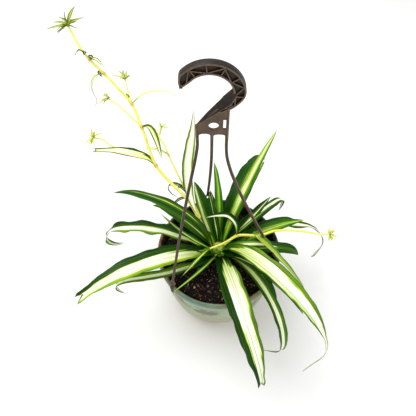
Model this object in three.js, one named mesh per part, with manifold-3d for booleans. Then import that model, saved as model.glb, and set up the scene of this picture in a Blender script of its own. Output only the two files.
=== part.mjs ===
// A variegated spider plant in a plastic hanging pot, standing on its base.
// Units are millimetres and +Z is up. The origin is the centre of the pot's underside, and
// +X is to the right and -Y to the front, as the plant is seen with its hook opening left.
// Every piece is one closed solid in its own named mesh.

import * as THREE from 'three';
import { mergeVertices } from 'three/addons/utils/BufferGeometryUtils.js';
import Module from 'manifold-3d';

const wasm = await Module();
wasm.setup();

// ---------------------------------------------------------------- driving dimensions

const GAP = 0.3;                 // clearance between two pieces that touch
const ROUND_SIDES = 40;          // facets round the pot and the soil

const POT_HEIGHT = 120;
const RIM_RADIUS = 80;
const RIM_BAND = 11;             // height of the rolled band below the rim's top edge
const RIM_LIP = 4;               // how far the band stands out of the wall
const WALL = 3;
const BASE_RADIUS = 51;
const FLOOR = 3;
const DRAIN_RADIUS = 5;
const DRAIN_CIRCLE = 32;
const DRAIN_COUNT = 4;

const SOIL_DROP = 12;            // from the rim's top edge down to the soil
const SOIL_TOP = POT_HEIGHT - SOIL_DROP;
const SOIL_MOUND = 2.5;          // how much higher the soil is beside the crown

const CROWN_RADIUS = 12;
const CROWN_HEIGHT = 22;         // of the dome that the leaves grow from, above the soil
const CROWN_NECK = 10;           // radius of the neck below the soil
const CROWN_DEPTH = 22;          // of the neck, below the soil
const CROWN_SHOULDER = 4;        // below the soil, where the crown narrows to its neck

const BLADE = 0.75;              // thickness of every leaf blade
const ROOT_SHARE = 0.3;          // of a leaf's width that is left at its root
const ROOT_CLEARANCE = 0.45;     // from the crown to the nearest corner of a leaf's root
const STEP_LENGTH = 12.5;        // of a blade, between two cross-sections
const ROOT_FOLD = 1.7;           // how much deeper than elsewhere a blade is folded at its root
const TIP_FOLD = 0.5;            // and how deep beyond the middle of its length

const HOOK_CENTRE = new THREE.Vector2(-12.9, 381.3);
const HOOK_OUTER = 29.8;         // radius of the hook's outer edge
const HOOK_INNER = 20.8;         // radius of the hook's inner edge
const HOOK_WIDTH = 7.2;          // of the hook's flanges, front to back
const FLANGE = 1.7;              // thickness of the flanges
const WEB = 2.2;                 // thickness of the web between them
const RIB = 1.3;                 // thickness of the ribs on the web
const RIB_WIDTH = 6.2;           // of the ribs, front to back
const BITE = 0.6;                // how far a rib runs into the flange that it meets
const PLATE = 3;                 // thickness of the plate under the hook
const BEAD = 1.6;                // thickness of the beads down the plate's two edges
const PLATE_LEFT = -25.5;
const PLATE_RIGHT = 4.8;
const PLATE_BOTTOM = 327;
const STRAND = 3.1;              // side of the strands' square section

// ---------------------------------------------------------------- finishes

function finish(color, roughness) {
  return new THREE.MeshStandardMaterial({ color, roughness, metalness: 0 });
}

const potFinish = finish(0x9db4a4, 0.55);
const soilFinish = finish(0x2b2019, 0.95);
const hangerFinish = finish(0x4b3f38, 0.5);
const crownFinish = finish(0xb9b86a, 0.6);
const leafFinish = finish(0x3f7a22, 0.45);
const runnerFinish = finish(0xe6df5a, 0.5);
const bractFinish = finish(0xdfe39a, 0.5);
const plantletFinish = finish(0xb6bd4a, 0.5);

const plant = new THREE.Group();

function place(name, geometry, material) {
  const mesh = new THREE.Mesh(geometry, material.clone());
  mesh.name = name;
  plant.add(mesh);
  return mesh;
}

// ---------------------------------------------------------------- solids and booleans

// A closed geometry as a solid that can be joined and cut.
function solid(geometry) {
  const bare = geometry.clone();
  bare.deleteAttribute('normal');
  bare.deleteAttribute('uv');
  const merged = mergeVertices(bare, 1e-3);
  const corners = merged.index.array;
  const faces = [];
  for (let i = 0; i < corners.length; i += 3) {
    const [a, b, c] = [corners[i], corners[i + 1], corners[i + 2]];
    if (a !== b && b !== c && c !== a) faces.push(a, b, c);
  }
  return new wasm.Manifold(new wasm.Mesh({
    numProp: 3,
    vertProperties: merged.attributes.position.array,
    triVerts: new Uint32Array(faces),
  }));
}

// A solid back as a geometry.
function shell(body) {
  const mesh = body.getMesh();
  const geometry = new THREE.BufferGeometry();
  geometry.setAttribute('position', new THREE.BufferAttribute(mesh.vertProperties, 3));
  geometry.setIndex(new THREE.BufferAttribute(mesh.triVerts, 1));
  geometry.computeVertexNormals();
  return geometry;
}

function joined(geometries) {
  return geometries.map(solid).reduce((whole, piece) => whole.add(piece));
}

// A profile of [radius, height] corners turned round the Z axis.
function turned(profile, sides = ROUND_SIDES) {
  const points = profile.map(([radius, height]) => new THREE.Vector2(radius, height));
  return new THREE.LatheGeometry(points, sides).rotateX(Math.PI / 2);
}

// An outline in the XZ plane, made thick along Y about y = 0.
function slab(shape, thickness) {
  const geometry = new THREE.ExtrudeGeometry(shape, {
    depth: thickness,
    bevelEnabled: false,
    curveSegments: 6,
  });
  return geometry.rotateX(Math.PI / 2).translate(0, thickness / 2, 0);
}

// A strip of constant thickness that follows a row of points in the XZ plane.
function strip(points, thickness, width) {
  const left = [];
  const right = [];
  points.forEach((point, i) => {
    const before = points[Math.max(i - 1, 0)];
    const after = points[Math.min(i + 1, points.length - 1)];
    const into = point.clone().sub(before);
    const out = after.clone().sub(point);
    if (i === 0) into.copy(out);
    if (i === points.length - 1) out.copy(into);
    const normal = into.normalize().add(out.normalize()).normalize();
    const mitre = thickness / 2 / Math.max(0.5, normal.dot(out));
    left.push(new THREE.Vector2(point.x - normal.y * mitre, point.y + normal.x * mitre));
    right.push(new THREE.Vector2(point.x + normal.y * mitre, point.y - normal.x * mitre));
  });
  return slab(new THREE.Shape([...left, ...right.reverse()]), width);
}

// ---------------------------------------------------------------- pot

// Outer wall: [radius, height] from the foot up to the underside of the rim band.
const WALL_PROFILE = [
  [BASE_RADIUS, 0], [BASE_RADIUS + 3.5, 2], [60, 13], [67, 32], [71.5, 54],
  [74, 76], [75.4, 96], [RIM_RADIUS - RIM_LIP, POT_HEIGHT - RIM_BAND],
];

// Radius of the wall's outer face at a height.
function wallRadius(height) {
  for (let i = 1; i < WALL_PROFILE.length; i += 1) {
    const [r0, z0] = WALL_PROFILE[i - 1];
    const [r1, z1] = WALL_PROFILE[i];
    if (height <= z1) return r0 + (r1 - r0) * (height - z0) / (z1 - z0);
  }
  return RIM_RADIUS - RIM_LIP;
}

// Heights of the corners on the wall's inner face, from the top down to the floor.
const INNER_HEIGHTS = [104, 76, 54, 32, 14, FLOOR];

function makePot() {
  const band = POT_HEIGHT - RIM_BAND;
  const outside = [
    ...WALL_PROFILE,
    [RIM_RADIUS - 1, band + 0.6], [RIM_RADIUS, band + 3],
    [RIM_RADIUS, POT_HEIGHT - 2], [RIM_RADIUS - 1.2, POT_HEIGHT - 0.3],
    [RIM_RADIUS - 2.6, POT_HEIGHT], [RIM_RADIUS - 4.2, POT_HEIGHT - 1.2],
    [RIM_RADIUS - 5.4, POT_HEIGHT - 5],
  ];
  const inside = INNER_HEIGHTS.map((height) => [wallRadius(height) - WALL, height]);
  let pot = solid(turned([[0, 0], ...outside, ...inside, [0, FLOOR]]));
  for (let i = 0; i < DRAIN_COUNT; i += 1) {
    const angle = Math.PI * (0.25 + 2 * i / DRAIN_COUNT);
    const drill = new THREE.CylinderGeometry(DRAIN_RADIUS, DRAIN_RADIUS, 4 * FLOOR, 12);
    drill.rotateX(Math.PI / 2);
    drill.translate(DRAIN_CIRCLE * Math.cos(angle), DRAIN_CIRCLE * Math.sin(angle), 0);
    pot = pot.subtract(solid(drill));
  }
  return shell(pot);
}

place('pot', makePot(), potFinish);

// ---------------------------------------------------------------- soil and crown

// The soil's surface between the pot and the crown: [radius, height above the soil line].
const SOIL_SURFACE = [[66, 0.4], [44, -0.6], [24, 1]];

function makeSoil() {
  const sides = INNER_HEIGHTS.slice().reverse().map((height) => [
    wallRadius(height) - WALL - GAP,
    Math.max(height, FLOOR + GAP),
  ]);
  const edge = wallRadius(SOIL_TOP) - WALL - 2 * GAP;
  const surface = SOIL_SURFACE.map(([radius, height]) => [radius, SOIL_TOP + height]);
  const hole = CROWN_RADIUS + GAP;
  const bottom = SOIL_TOP - CROWN_DEPTH - GAP;
  const profile = [
    [0, FLOOR + GAP], ...sides, [edge, SOIL_TOP - 1.5], ...surface,
    [hole, SOIL_TOP + SOIL_MOUND], [hole, SOIL_TOP - CROWN_SHOULDER],
    [CROWN_NECK + GAP, bottom], [0, bottom],
  ];
  return shell(solid(turned(profile)));
}

place('potting_soil', makeSoil(), soilFinish);

// Radius of the dome at a height above the soil line.
function domeRadius(height) {
  return CROWN_RADIUS * Math.sqrt(Math.max(0, 1 - (height / CROWN_HEIGHT) ** 2));
}

function makeCrown() {
  const steps = [0, 0.3, 0.5, 0.65, 0.78, 0.88, 0.95];
  const dome = steps.map((part) => [
    domeRadius(part * CROWN_HEIGHT),
    SOIL_TOP + part * CROWN_HEIGHT,
  ]);
  return shell(solid(turned([
    [0, SOIL_TOP - CROWN_DEPTH], [CROWN_NECK, SOIL_TOP - CROWN_DEPTH],
    [CROWN_RADIUS, SOIL_TOP - CROWN_SHOULDER], ...dome, [0, SOIL_TOP + CROWN_HEIGHT],
  ], 20)));
}

place('crown', makeCrown(), crownFinish);

// ---------------------------------------------------------------- leaf blades

const radians = THREE.MathUtils.degToRad;

// How a leaf grows out of the crown. It starts at an azimuth, `root` mm above the soil,
// climbs at `rise` degrees and droops by `droop` degrees along its length, more towards the
// tip when `bend` is above 1. `sweep` turns it sideways all along, and `curl` and `swirl`
// add a droop and a turn over the last third only.
function growth(leaf, steps) {
  const { azimuth, root, length, rise, droop } = leaf;
  const { bend = 1.3, sweep = 0, curl = 0, swirl = 0, from = azimuth } = leaf;
  const start = domeRadius(root);
  const point = new THREE.Vector3(
    start * Math.cos(radians(from)),
    start * Math.sin(radians(from)),
    SOIL_TOP + root,
  );
  const points = [point.clone()];
  for (let i = 0; i < steps; i += 1) {
    const along = (i + 0.5) / steps;
    const tip = Math.max(0, (along - 0.65) / 0.35) ** 1.5;
    const pitch = radians(rise - droop * along ** bend - curl * tip);
    const heading = radians(azimuth + sweep * along + swirl * tip);
    point.add(new THREE.Vector3(
      Math.cos(pitch) * Math.cos(heading),
      Math.cos(pitch) * Math.sin(heading),
      Math.sin(pitch),
    ).multiplyScalar(length / steps));
    points.push(point.clone());
  }
  return points;
}

// Half width of a blade as a share of its widest, from the root (0) to the tip (1).
function bladeOutline(along, shape) {
  const widening = Math.sin(Math.PI / 2 * Math.min(1, along / shape.widest));
  if (along < shape.widest) return shape.base + (1 - shape.base) * widening;
  const fading = (along - shape.widest) / (1 - shape.widest);
  return Math.max(shape.tip, (1 - fading ** shape.taper) ** 0.8);
}

// A thin blade along a row of points. Its cross-section is a channel, deeper at the root.
// Both faces are split along the same diagonals.
function blade(points, width, options = {}) {
  const shape = { base: ROOT_SHARE, widest: 0.42, taper: 1.8, tip: 0.06, ...options };
  const { fold = 24, across = width > 14.5 ? 5 : 3, wave = 0, waves = 4 } = options;
  const steps = points.length - 1;
  const vertices = [];
  const faces = [];
  const side = new THREE.Vector3();
  const forward = new THREE.Vector3();
  const up = new THREE.Vector3();
  points.forEach((point, i) => {
    const before = points[Math.max(i - 1, 0)];
    const after = points[Math.min(i + 1, steps)];
    forward.copy(after).sub(before).normalize();
    if (i === 0) side.crossVectors(forward, new THREE.Vector3(0, 0, 1)).normalize();
    side.addScaledVector(forward, -side.dot(forward)).normalize();
    up.crossVectors(side, forward);
    const along = i / steps;
    const half = width / 2 * bladeOutline(along, shape);
    const angle = radians(fold * (ROOT_FOLD - (ROOT_FOLD - TIP_FOLD) * Math.min(1, along * 2)));
    const ripple = wave * Math.sin(Math.PI * along) ** 0.5;
    for (const face of [0, 1]) {
      for (let j = 0; j < across; j += 1) {
        const x = 2 * j / (across - 1) - 1;
        const phase = 2 * Math.PI * waves * along + (x > 0 ? 1.3 : 0);
        const height = half * Math.abs(x) ** 1.4 * Math.sin(angle)
          + ripple * x * x * Math.sin(phase) - face * BLADE / Math.cos(angle);
        vertices.push(point.clone()
          .addScaledVector(side, half * x * Math.cos(angle))
          .addScaledVector(up, height));
      }
    }
  });
  const corner = (i, face, j) => i * 2 * across + face * across + j;
  for (let i = 0; i < steps; i += 1) {
    for (let j = 0; j < across - 1; j += 1) {
      faces.push(corner(i, 0, j), corner(i, 0, j + 1), corner(i + 1, 0, j + 1));
      faces.push(corner(i, 0, j), corner(i + 1, 0, j + 1), corner(i + 1, 0, j));
      faces.push(corner(i, 1, j), corner(i + 1, 1, j + 1), corner(i, 1, j + 1));
      faces.push(corner(i, 1, j), corner(i + 1, 1, j), corner(i + 1, 1, j + 1));
    }
    const last = across - 1;
    faces.push(corner(i, 0, last), corner(i, 1, last), corner(i + 1, 1, last));
    faces.push(corner(i, 0, last), corner(i + 1, 1, last), corner(i + 1, 0, last));
    faces.push(corner(i, 1, 0), corner(i, 0, 0), corner(i + 1, 0, 0));
    faces.push(corner(i, 1, 0), corner(i + 1, 0, 0), corner(i + 1, 1, 0));
  }
  for (let j = 0; j < across - 1; j += 1) {
    faces.push(corner(0, 1, j), corner(0, 1, j + 1), corner(0, 0, j + 1));
    faces.push(corner(0, 1, j), corner(0, 0, j + 1), corner(0, 0, j));
    faces.push(corner(steps, 0, j), corner(steps, 0, j + 1), corner(steps, 1, j + 1));
    faces.push(corner(steps, 0, j), corner(steps, 1, j + 1), corner(steps, 1, j));
  }
  const geometry = new THREE.BufferGeometry().setFromPoints(vertices);
  geometry.setIndex(faces);
  geometry.computeVertexNormals();
  return geometry;
}

// Slides a blade along the azimuth of its root until the root just clears the crown.
function seated(geometry, { azimuth, from = azimuth }) {
  const corners = geometry.getAttribute('position');
  let nearest = Infinity;
  for (let i = 0; i < corners.count; i += 1) {
    const radius = Math.hypot(corners.getX(i), corners.getY(i));
    nearest = Math.min(nearest, radius - domeRadius(corners.getZ(i) - SOIL_TOP));
  }
  const slide = ROOT_CLEARANCE - nearest;
  return geometry.translate(slide * Math.cos(radians(from)), slide * Math.sin(radians(from)), 0);
}

// The large leaves, clockwise from the front left. Angles are in degrees, lengths in mm.
const LEAVES = [
  { name: 'leaf_front_left_broad', azimuth: 206, root: 10, length: 193, rise: 42, droop: 80,
    width: 28, tip: 0.5, fold: 18, base: 0.33, taper: 2.2 },
  { name: 'leaf_left_wavy', azimuth: 178, root: 8, length: 198, rise: 47, droop: 140, bend: 1.6,
    sweep: -6, curl: 85, swirl: 36, width: 18, wave: 1.6, waves: 5 },
  { name: 'leaf_left_long', azimuth: 170, from: 182, root: 15, length: 174, rise: 80, droop: 118,
    sweep: -12, width: 17 },
  { name: 'leaf_left_torn', azimuth: 140, from: 146, root: 10, length: 101, rise: 44, droop: 64,
    sweep: 14, width: 16, tip: 0.4 },
  { name: 'leaf_rear_left_tall', azimuth: 158, from: 120, root: 11, length: 211, rise: 75, droop: 110,
    bend: 0.9, sweep: -115, curl: -57, swirl: 49, width: 11 },
  { name: 'leaf_rear_white_line', azimuth: 110, from: 98, root: 17, length: 71, rise: 72, droop: 68,
    sweep: -10, width: 7 },
  { name: 'leaf_rear_narrow', azimuth: 88, root: 12, length: 114, rise: 70, droop: 80, sweep: 11,
    width: 10 },
  { name: 'leaf_rear_right_dark', azimuth: 70, root: 5, length: 185, rise: 60, droop: 125,
    sweep: -12, width: 21, wave: 1.5, waves: 4 },
  { name: 'leaf_rear_right_tall', azimuth: 51, root: 15, length: 167, rise: 69, droop: 58,
    sweep: 8, width: 13 },
  { name: 'leaf_right_rear_folded', azimuth: 31, from: 34, root: 9, length: 137, rise: 42,
    droop: 94, sweep: 19, curl: 91, width: 14 },
  { name: 'leaf_right_rear_pleated', azimuth: 29, from: 26, root: 13, length: 88, rise: 47,
    droop: 13, sweep: 9, width: 16 },
  { name: 'leaf_right_lime', azimuth: 16, from: 18, root: 5, length: 110, rise: 34, droop: 47,
    width: 19 },
  { name: 'leaf_right_thin', azimuth: 20, from: 24, root: 17, length: 83, rise: 48, droop: 18,
    sweep: 8, width: 4 },
  { name: 'leaf_right_curled', azimuth: 6, from: 0, root: 4, length: 238, rise: 32, droop: 161,
    sweep: 22, width: 12, wave: 1, waves: 5 },
  { name: 'leaf_right_blunt', azimuth: 352, from: 340, root: 5, length: 107, rise: 40, droop: 73,
    sweep: 8, curl: 68, width: 17, tip: 0.7 },
  { name: 'leaf_right_pale_arch', azimuth: 342, root: 16, length: 76, rise: 58, droop: 85,
    sweep: 14, width: 9 },
  { name: 'leaf_front_right_dark', azimuth: 324, root: 3, length: 113, rise: 52, droop: 132,
    sweep: -23, width: 13 },
  { name: 'leaf_right_front_broad', azimuth: 308, root: 14, length: 316, rise: 78, droop: 211,
    bend: 0.97, sweep: 16, curl: -10, swirl: 72, width: 24, fold: 20, widest: 0.32, taper: 0.75 },
  { name: 'leaf_front_right_arch', azimuth: 313, root: 8, length: 235, rise: 50, droop: 193,
    bend: 1.09, sweep: -31, curl: -10, swirl: 55, width: 13 },
  { name: 'leaf_front_broad', azimuth: 279, root: 9, length: 202, rise: 43, droop: 124,
    sweep: 17, width: 29, tip: 0.35, wave: 1, waves: 5, fold: 20, base: 0.36, widest: 0.34 },
  { name: 'leaf_front_left_narrow', azimuth: 249, root: 12, length: 98, rise: 41, droop: 39,
    sweep: -29, width: 5 },
  { name: 'leaf_front_left_low', azimuth: 225, root: 4, length: 165, rise: 28, droop: 50,
    bend: 1.5, sweep: -54, curl: 135, width: 14 },
  { name: 'leaf_front_stub', azimuth: 300, root: 6, length: 36, rise: 26, droop: 40, width: 9,
    tip: 0.5 },
];

for (const leaf of LEAVES) {
  const steps = Math.round(leaf.length / STEP_LENGTH) + 2;
  const body = seated(blade(growth(leaf, steps), leaf.width, leaf), leaf);
  place(leaf.name, shell(solid(body)), leafFinish);
}

// ---------------------------------------------------------------- hanger: hook and plate

// A point on the hook, at an angle round its centre and a radius.
function onHook(angle, radius) {
  return new THREE.Vector2(
    HOOK_CENTRE.x + radius * Math.cos(radians(angle)),
    HOOK_CENTRE.y + radius * Math.sin(radians(angle)),
  );
}

function arcPoints(radius, first, last, steps) {
  const points = [];
  for (let i = 0; i <= steps; i += 1) {
    points.push(onHook(first + (last - first) * i / steps, radius));
  }
  return points;
}

const at = (x, z) => new THREE.Vector2(x, z);

// Both edges run from the hook's tip, over its top and down the neck.
const OUTER_EDGE = [
  at(-36.4, 389), at(-37.2, 395), ...arcPoints(HOOK_OUTER, 141, 6, 11),
  at(16.3, 379.8), at(14.6, 375.9), at(11.6, 371.8), at(7.8, 368), at(PLATE_RIGHT, 365.5),
];
const INNER_EDGE = [
  at(-35.6, 389), at(-27.8, 395.6), ...arcPoints(HOOK_INNER, 133, 4, 9),
];

// The gusset's top face runs down from the inner edge to the plate's left corner. It drops
// and narrows to the front: [x, z at the back, z at the front, half width] along it.
const GUSSET = [
  [7.9, 383.4, 379, 3.6], [4.2, 379.9, 371.4, 3.6], [-1, 373.8, 365.8, 3.4],
  [-4.1, 370.2, 363, 3.2], [-10.2, 362.7, 357.6, 2.8], [-18.2, 352.7, 351, 2.2],
  [PLATE_LEFT, 342.3, 344.4, 1.5],
];

// Where the zig-zag ribs meet the two edges, as angles round the hook from its tip.
const ZIGZAG = [150, 125, 95, 65, 35, 14];
const POSTS = [123, 95, 64, 34];
// The ribs in the neck, from the gusset to the outer edge: [x, z, x, z].
const NECK_RIBS = [
  [14.9, 387.6, 7.6, 379], [7.2, 378.8, 16, 378.8], [15.2, 377, 6.2, 373.4],
  [5, 371.9, 11.6, 371.9], [10.6, 370.6, 1.2, 368.2], [-2, 365, 5.6, 366.4],
];

function windowArch(shape, right, left, spring, apex) {
  shape.lineTo(right, PLATE_BOTTOM);
  shape.lineTo(right, spring);
  shape.quadraticCurveTo(right - 1, apex, (right + left) / 2, apex);
  shape.quadraticCurveTo(left + 1, apex, left, spring);
  shape.lineTo(left, PLATE_BOTTOM);
}

// Left edges of the three strands where they leave the plate.
const STRAND_ROOTS = [PLATE_LEFT, -12, PLATE_RIGHT - STRAND];

// Where the neck's channel ends in the plate.
const NECK_FOOT = at(-3.4, 361.4);

function makePlate() {
  const shape = new THREE.Shape();
  shape.moveTo(PLATE_LEFT, 342.8);
  shape.lineTo(-18.2, 351);
  shape.lineTo(-10.2, 359.4);
  shape.lineTo(-5.6, 364.2);
  shape.lineTo(NECK_FOOT.x, NECK_FOOT.y);
  shape.lineTo(PLATE_RIGHT, 365.5);
  shape.lineTo(PLATE_RIGHT, PLATE_BOTTOM);
  windowArch(shape, STRAND_ROOTS[2], STRAND_ROOTS[1] + STRAND, 330.5, 333);
  windowArch(shape, STRAND_ROOTS[1], STRAND_ROOTS[0] + STRAND, 331, 334);
  shape.lineTo(PLATE_LEFT, PLATE_BOTTOM);
  const eye = new THREE.Path();
  eye.absellipse(-8.9, 343.3, 4.8, 4.6, 0, 2 * Math.PI, false);
  const slot = new THREE.Path();
  slot.setFromPoints([at(-0.4, 339), at(2.2, 339), at(2.2, 351.2), at(-0.4, 351.2)]);
  shape.holes.push(eye, slot);
  return slab(shape, PLATE);
}

// The gusset: a flange with a top face that twists along the rows of GUSSET.
function makeGusset() {
  const vertices = [];
  const faces = [];
  const into = new THREE.Vector3(0.75, 0, -0.66).multiplyScalar(FLANGE);
  for (const [x, back, front, half] of GUSSET) {
    const corners = [new THREE.Vector3(x, half, back), new THREE.Vector3(x, -half, front)];
    vertices.push(...corners, ...corners.reverse().map((corner) => corner.clone().add(into)));
  }
  const last = (GUSSET.length - 1) * 4;
  for (let i = 0; i < last; i += 4) {
    for (let j = 0; j < 4; j += 1) {
      const next = (j + 1) % 4;
      faces.push(i + j, i + 4 + next, i + next, i + j, i + 4 + j, i + 4 + next);
    }
  }
  faces.push(0, 1, 2, 0, 2, 3, last, last + 2, last + 1, last, last + 3, last + 2);
  const geometry = new THREE.BufferGeometry().setFromPoints(vertices);
  geometry.setIndex(faces);
  return geometry;
}

function makeHookPieces() {
  const neck = GUSSET.slice(0, 4).map(([x, back, front]) => at(x, (back + front) / 2 - 1));
  const web = new THREE.Shape([
    ...OUTER_EDGE, NECK_FOOT, ...neck.reverse(), ...INNER_EDGE.slice().reverse(),
  ]);
  const pieces = [
    slab(web, WEB),
    strip(OUTER_EDGE, FLANGE, HOOK_WIDTH),
    strip(INNER_EDGE, FLANGE, HOOK_WIDTH),
    makeGusset(),
    strip([at(PLATE_RIGHT, 365.5), NECK_FOOT, at(-4.6, 361.8)], FLANGE, RIB_WIDTH),
    strip([at(-36, 388.4), at(-36, 391)], 2.6, HOOK_WIDTH),
    strip([at(PLATE_LEFT + BEAD / 2, 343), at(PLATE_LEFT + BEAD / 2, PLATE_BOTTOM)],
      BEAD, PLATE + BEAD),
    strip([at(PLATE_RIGHT - BEAD / 2, 366), at(PLATE_RIGHT - BEAD / 2, PLATE_BOTTOM)],
      BEAD, PLATE + BEAD),
  ];
  ZIGZAG.slice(1).forEach((angle, i) => {
    const outward = i % 2 === 0;
    const inner = HOOK_INNER + BITE;
    const outer = HOOK_OUTER - FLANGE + BITE;
    const start = onHook(ZIGZAG[i], outward ? inner : outer);
    const end = onHook(angle, outward ? outer : inner);
    pieces.push(strip([start, end], RIB, RIB_WIDTH));
  });
  for (const angle of POSTS) {
    const post = [onHook(angle, HOOK_INNER), onHook(angle, HOOK_OUTER)];
    pieces.push(strip(post, RIB, RIB_WIDTH));
  }
  for (const [x0, z0, x1, z1] of NECK_RIBS) {
    pieces.push(strip([at(x0, z0), at(x1, z1)], RIB, RIB_WIDTH));
  }
  return pieces;
}

// ---------------------------------------------------------------- hanger: strands and clips

function circleShape(radius, sides) {
  const corners = [];
  for (let i = 0; i < sides; i += 1) {
    const angle = 2 * Math.PI * i / sides;
    corners.push(new THREE.Vector2(radius * Math.cos(angle), radius * Math.sin(angle)));
  }
  return new THREE.Shape(corners);
}

function tube(points, radius, sides, steps) {
  return new THREE.ExtrudeGeometry(circleShape(radius, sides), {
    extrudePath: new THREE.CatmullRomCurve3(points, false, 'centripetal'),
    steps,
    bevelEnabled: false,
  });
}

// The strands: the angle on the rim that each runs to, and how it bows on the way down. One
// with a bow under 1 runs outwards first.
const STRANDS = [
  { angle: 223, bow: 0.73 },
  { angle: 101, bow: 1.1 },
  { angle: 341, bow: 1.15 },
];
const STRAND_BEND = 318;         // height where a strand leaves the plate's plane
const STRAND_EASE = 0.15;        // share of the way down over which it turns outwards
const LOOP_TOP = POT_HEIGHT + 15;
const LOOP_FOOT = POT_HEIGHT + 4.5;
const CLIP_RADIUS = RIM_RADIUS - 2.6;
const LOOP_HALF_WIDTH = 3.1;
const LOOP_BAR = 1.7;            // thickness of a loop's sides
const LOOP_DEPTH = 2.4;
const TONGUE = 1.6;              // thickness of a tongue
const TONGUE_WIDTH = 3;

function makeStrand({ angle, bow }, x) {
  const foot = new THREE.Vector3(
    CLIP_RADIUS * Math.cos(radians(angle)),
    CLIP_RADIUS * Math.sin(radians(angle)),
    LOOP_TOP - 0.6,
  );
  const points = [new THREE.Vector3(x, 0, PLATE_BOTTOM + 1.5)];
  const count = 12;
  const eased = (down) => Math.hypot(down, STRAND_EASE) - STRAND_EASE;
  for (let i = 0; i <= count; i += 1) {
    const down = i / count;
    const out = (eased(down) / eased(1)) ** bow;
    points.push(new THREE.Vector3(
      x + (foot.x - x) * out,
      foot.y * out,
      STRAND_BEND + (foot.z - STRAND_BEND) * down,
    ));
  }
  return tube(points, STRAND / 2, 8, 15);
}

// A diamond-shaped loop over the rim, and a tongue that runs over the rim's edge, down its
// outside and in under the band.
function makeClip({ angle }) {
  const turnIn = new THREE.Matrix4().makeRotationZ(radians(angle + 90));
  const middle = (LOOP_TOP + LOOP_FOOT) / 2;
  const pieces = [-LOOP_HALF_WIDTH, LOOP_HALF_WIDTH].map((side) => {
    const edge = [at(0, LOOP_TOP), at(side, middle), at(0, LOOP_FOOT)];
    return strip(edge, LOOP_BAR, LOOP_DEPTH).translate(0, -CLIP_RADIUS, 0);
  });
  pieces.forEach((piece) => piece.applyMatrix4(turnIn));
  const over = POT_HEIGHT + GAP + TONGUE / 2;
  const outside = RIM_RADIUS + GAP + TONGUE / 2;
  const under = POT_HEIGHT - RIM_BAND - TONGUE;
  const tongue = strip([
    at(CLIP_RADIUS, LOOP_FOOT + 1.2), at(CLIP_RADIUS, over), at(outside, over),
    at(outside, under + 1.8), at(outside - 1, under), at(CLIP_RADIUS, under),
  ], TONGUE, TONGUE_WIDTH);
  tongue.applyMatrix4(new THREE.Matrix4().makeRotationZ(radians(angle)));
  return [...pieces, tongue];
}

function makeHanger() {
  const pieces = [makePlate(), ...makeHookPieces()];
  STRANDS.forEach((strand, i) => {
    pieces.push(makeStrand(strand, STRAND_ROOTS[i] + STRAND / 2));
    pieces.push(...makeClip(strand));
  });
  return shell(joined(pieces));
}

place('hanger', makeHanger(), hangerFinish);

// ---------------------------------------------------------------- runners

const points3 = (rows) => rows.map(([x, y, z]) => new THREE.Vector3(x, y, z));

// A stem that thins towards its tip in three lengths, with swollen joints at some points.
function stem(rows, thick, thin, joints = []) {
  const points = points3(rows);
  const curve = new THREE.CatmullRomCurve3(points, false, 'centripetal');
  const lengths = points.length > 7 ? 3 : 1;
  const pieces = [];
  for (let i = 0; i < lengths; i += 1) {
    const radius = thick + (thin - thick) * i / Math.max(1, lengths - 1);
    const steps = Math.ceil(1.4 * points.length / lengths);
    const row = [];
    for (let j = 0; j <= steps; j += 1) {
      row.push(curve.getPoint((i + j / steps) / lengths));
    }
    pieces.push(tube(row, radius, 6, steps));
    if (i > 0) pieces.push(new THREE.OctahedronGeometry(radius * 1.6, 0).translate(...row[0]));
  }
  for (const joint of joints) {
    const radius = (thick + (thin - thick) * joint / points.length) * 1.45;
    pieces.push(new THREE.IcosahedronGeometry(radius, 0).translate(...points[joint]));
  }
  return pieces;
}

// Where each stem runs, from the crown to its end, and the side shoots of two of them.
const TALL_RUNNER = [
  [-8.6, 3.6, 124], [-20, 16, 143], [-33, 34, 166], [-45, 43, 180], [-60, 52, 193], [-78, 65, 211],
  [-84, 75, 225], [-93, 94, 247], [-104, 113, 266], [-118, 121, 282], [-133, 130, 296],
  [-148, 138, 309], [-158, 147, 319], [-169.5, 162, 334],
];
const TALL_SHOOTS = [
  [[-78, 65, 211], [-84, 75, 210], [-112, 88, 211], [-134, 92, 216], [-144, 96, 223],
    [-152, 95, 227]],
  [[-93, 94, 247], [-114, 112, 256], [-125, 122, 258], [-132, 126.5, 260]],
  [[-104, 113, 266], [-108, 125, 272], [-112, 138, 278.5]],
];
const PALE_RUNNER = [
  [-7.6, 10, 115], [-20, 26, 138], [-33, 43, 163], [-43, 54, 177], [-54, 68, 197],
  [-63, 81, 212], [-68, 89, 221], [-74, 96, 229], [-72, 103, 234],
];
const RIGHT_RUNNER = [
  [7.5, 2, 127.5], [23, 4, 146], [51, 1, 152], [71, 6, 155], [101, 6, 154], [126, 5, 148],
  [139, 8, 143.5],
];
const RIGHT_SHOOT = [[23, 4, 146], [3, -12, 153], [-12, -20, 155.6]];

place('tall_runner_stem', shell(joined([
  ...stem(TALL_RUNNER, 2.3, 1.3, [5, 7, 8, 10, 11]),
  ...TALL_SHOOTS.flatMap((rows) => stem(rows, 1.1, 0.9)),
])), runnerFinish);
place('pale_runner_stem', shell(joined(stem(PALE_RUNNER, 1.6, 0.9, [5]))), runnerFinish);
place('right_runner_stem', shell(joined([
  ...stem(RIGHT_RUNNER, 1.9, 1.1, [1, 2]),
  ...stem(RIGHT_SHOOT, 1.5, 1.2),
])), runnerFinish);

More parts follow.
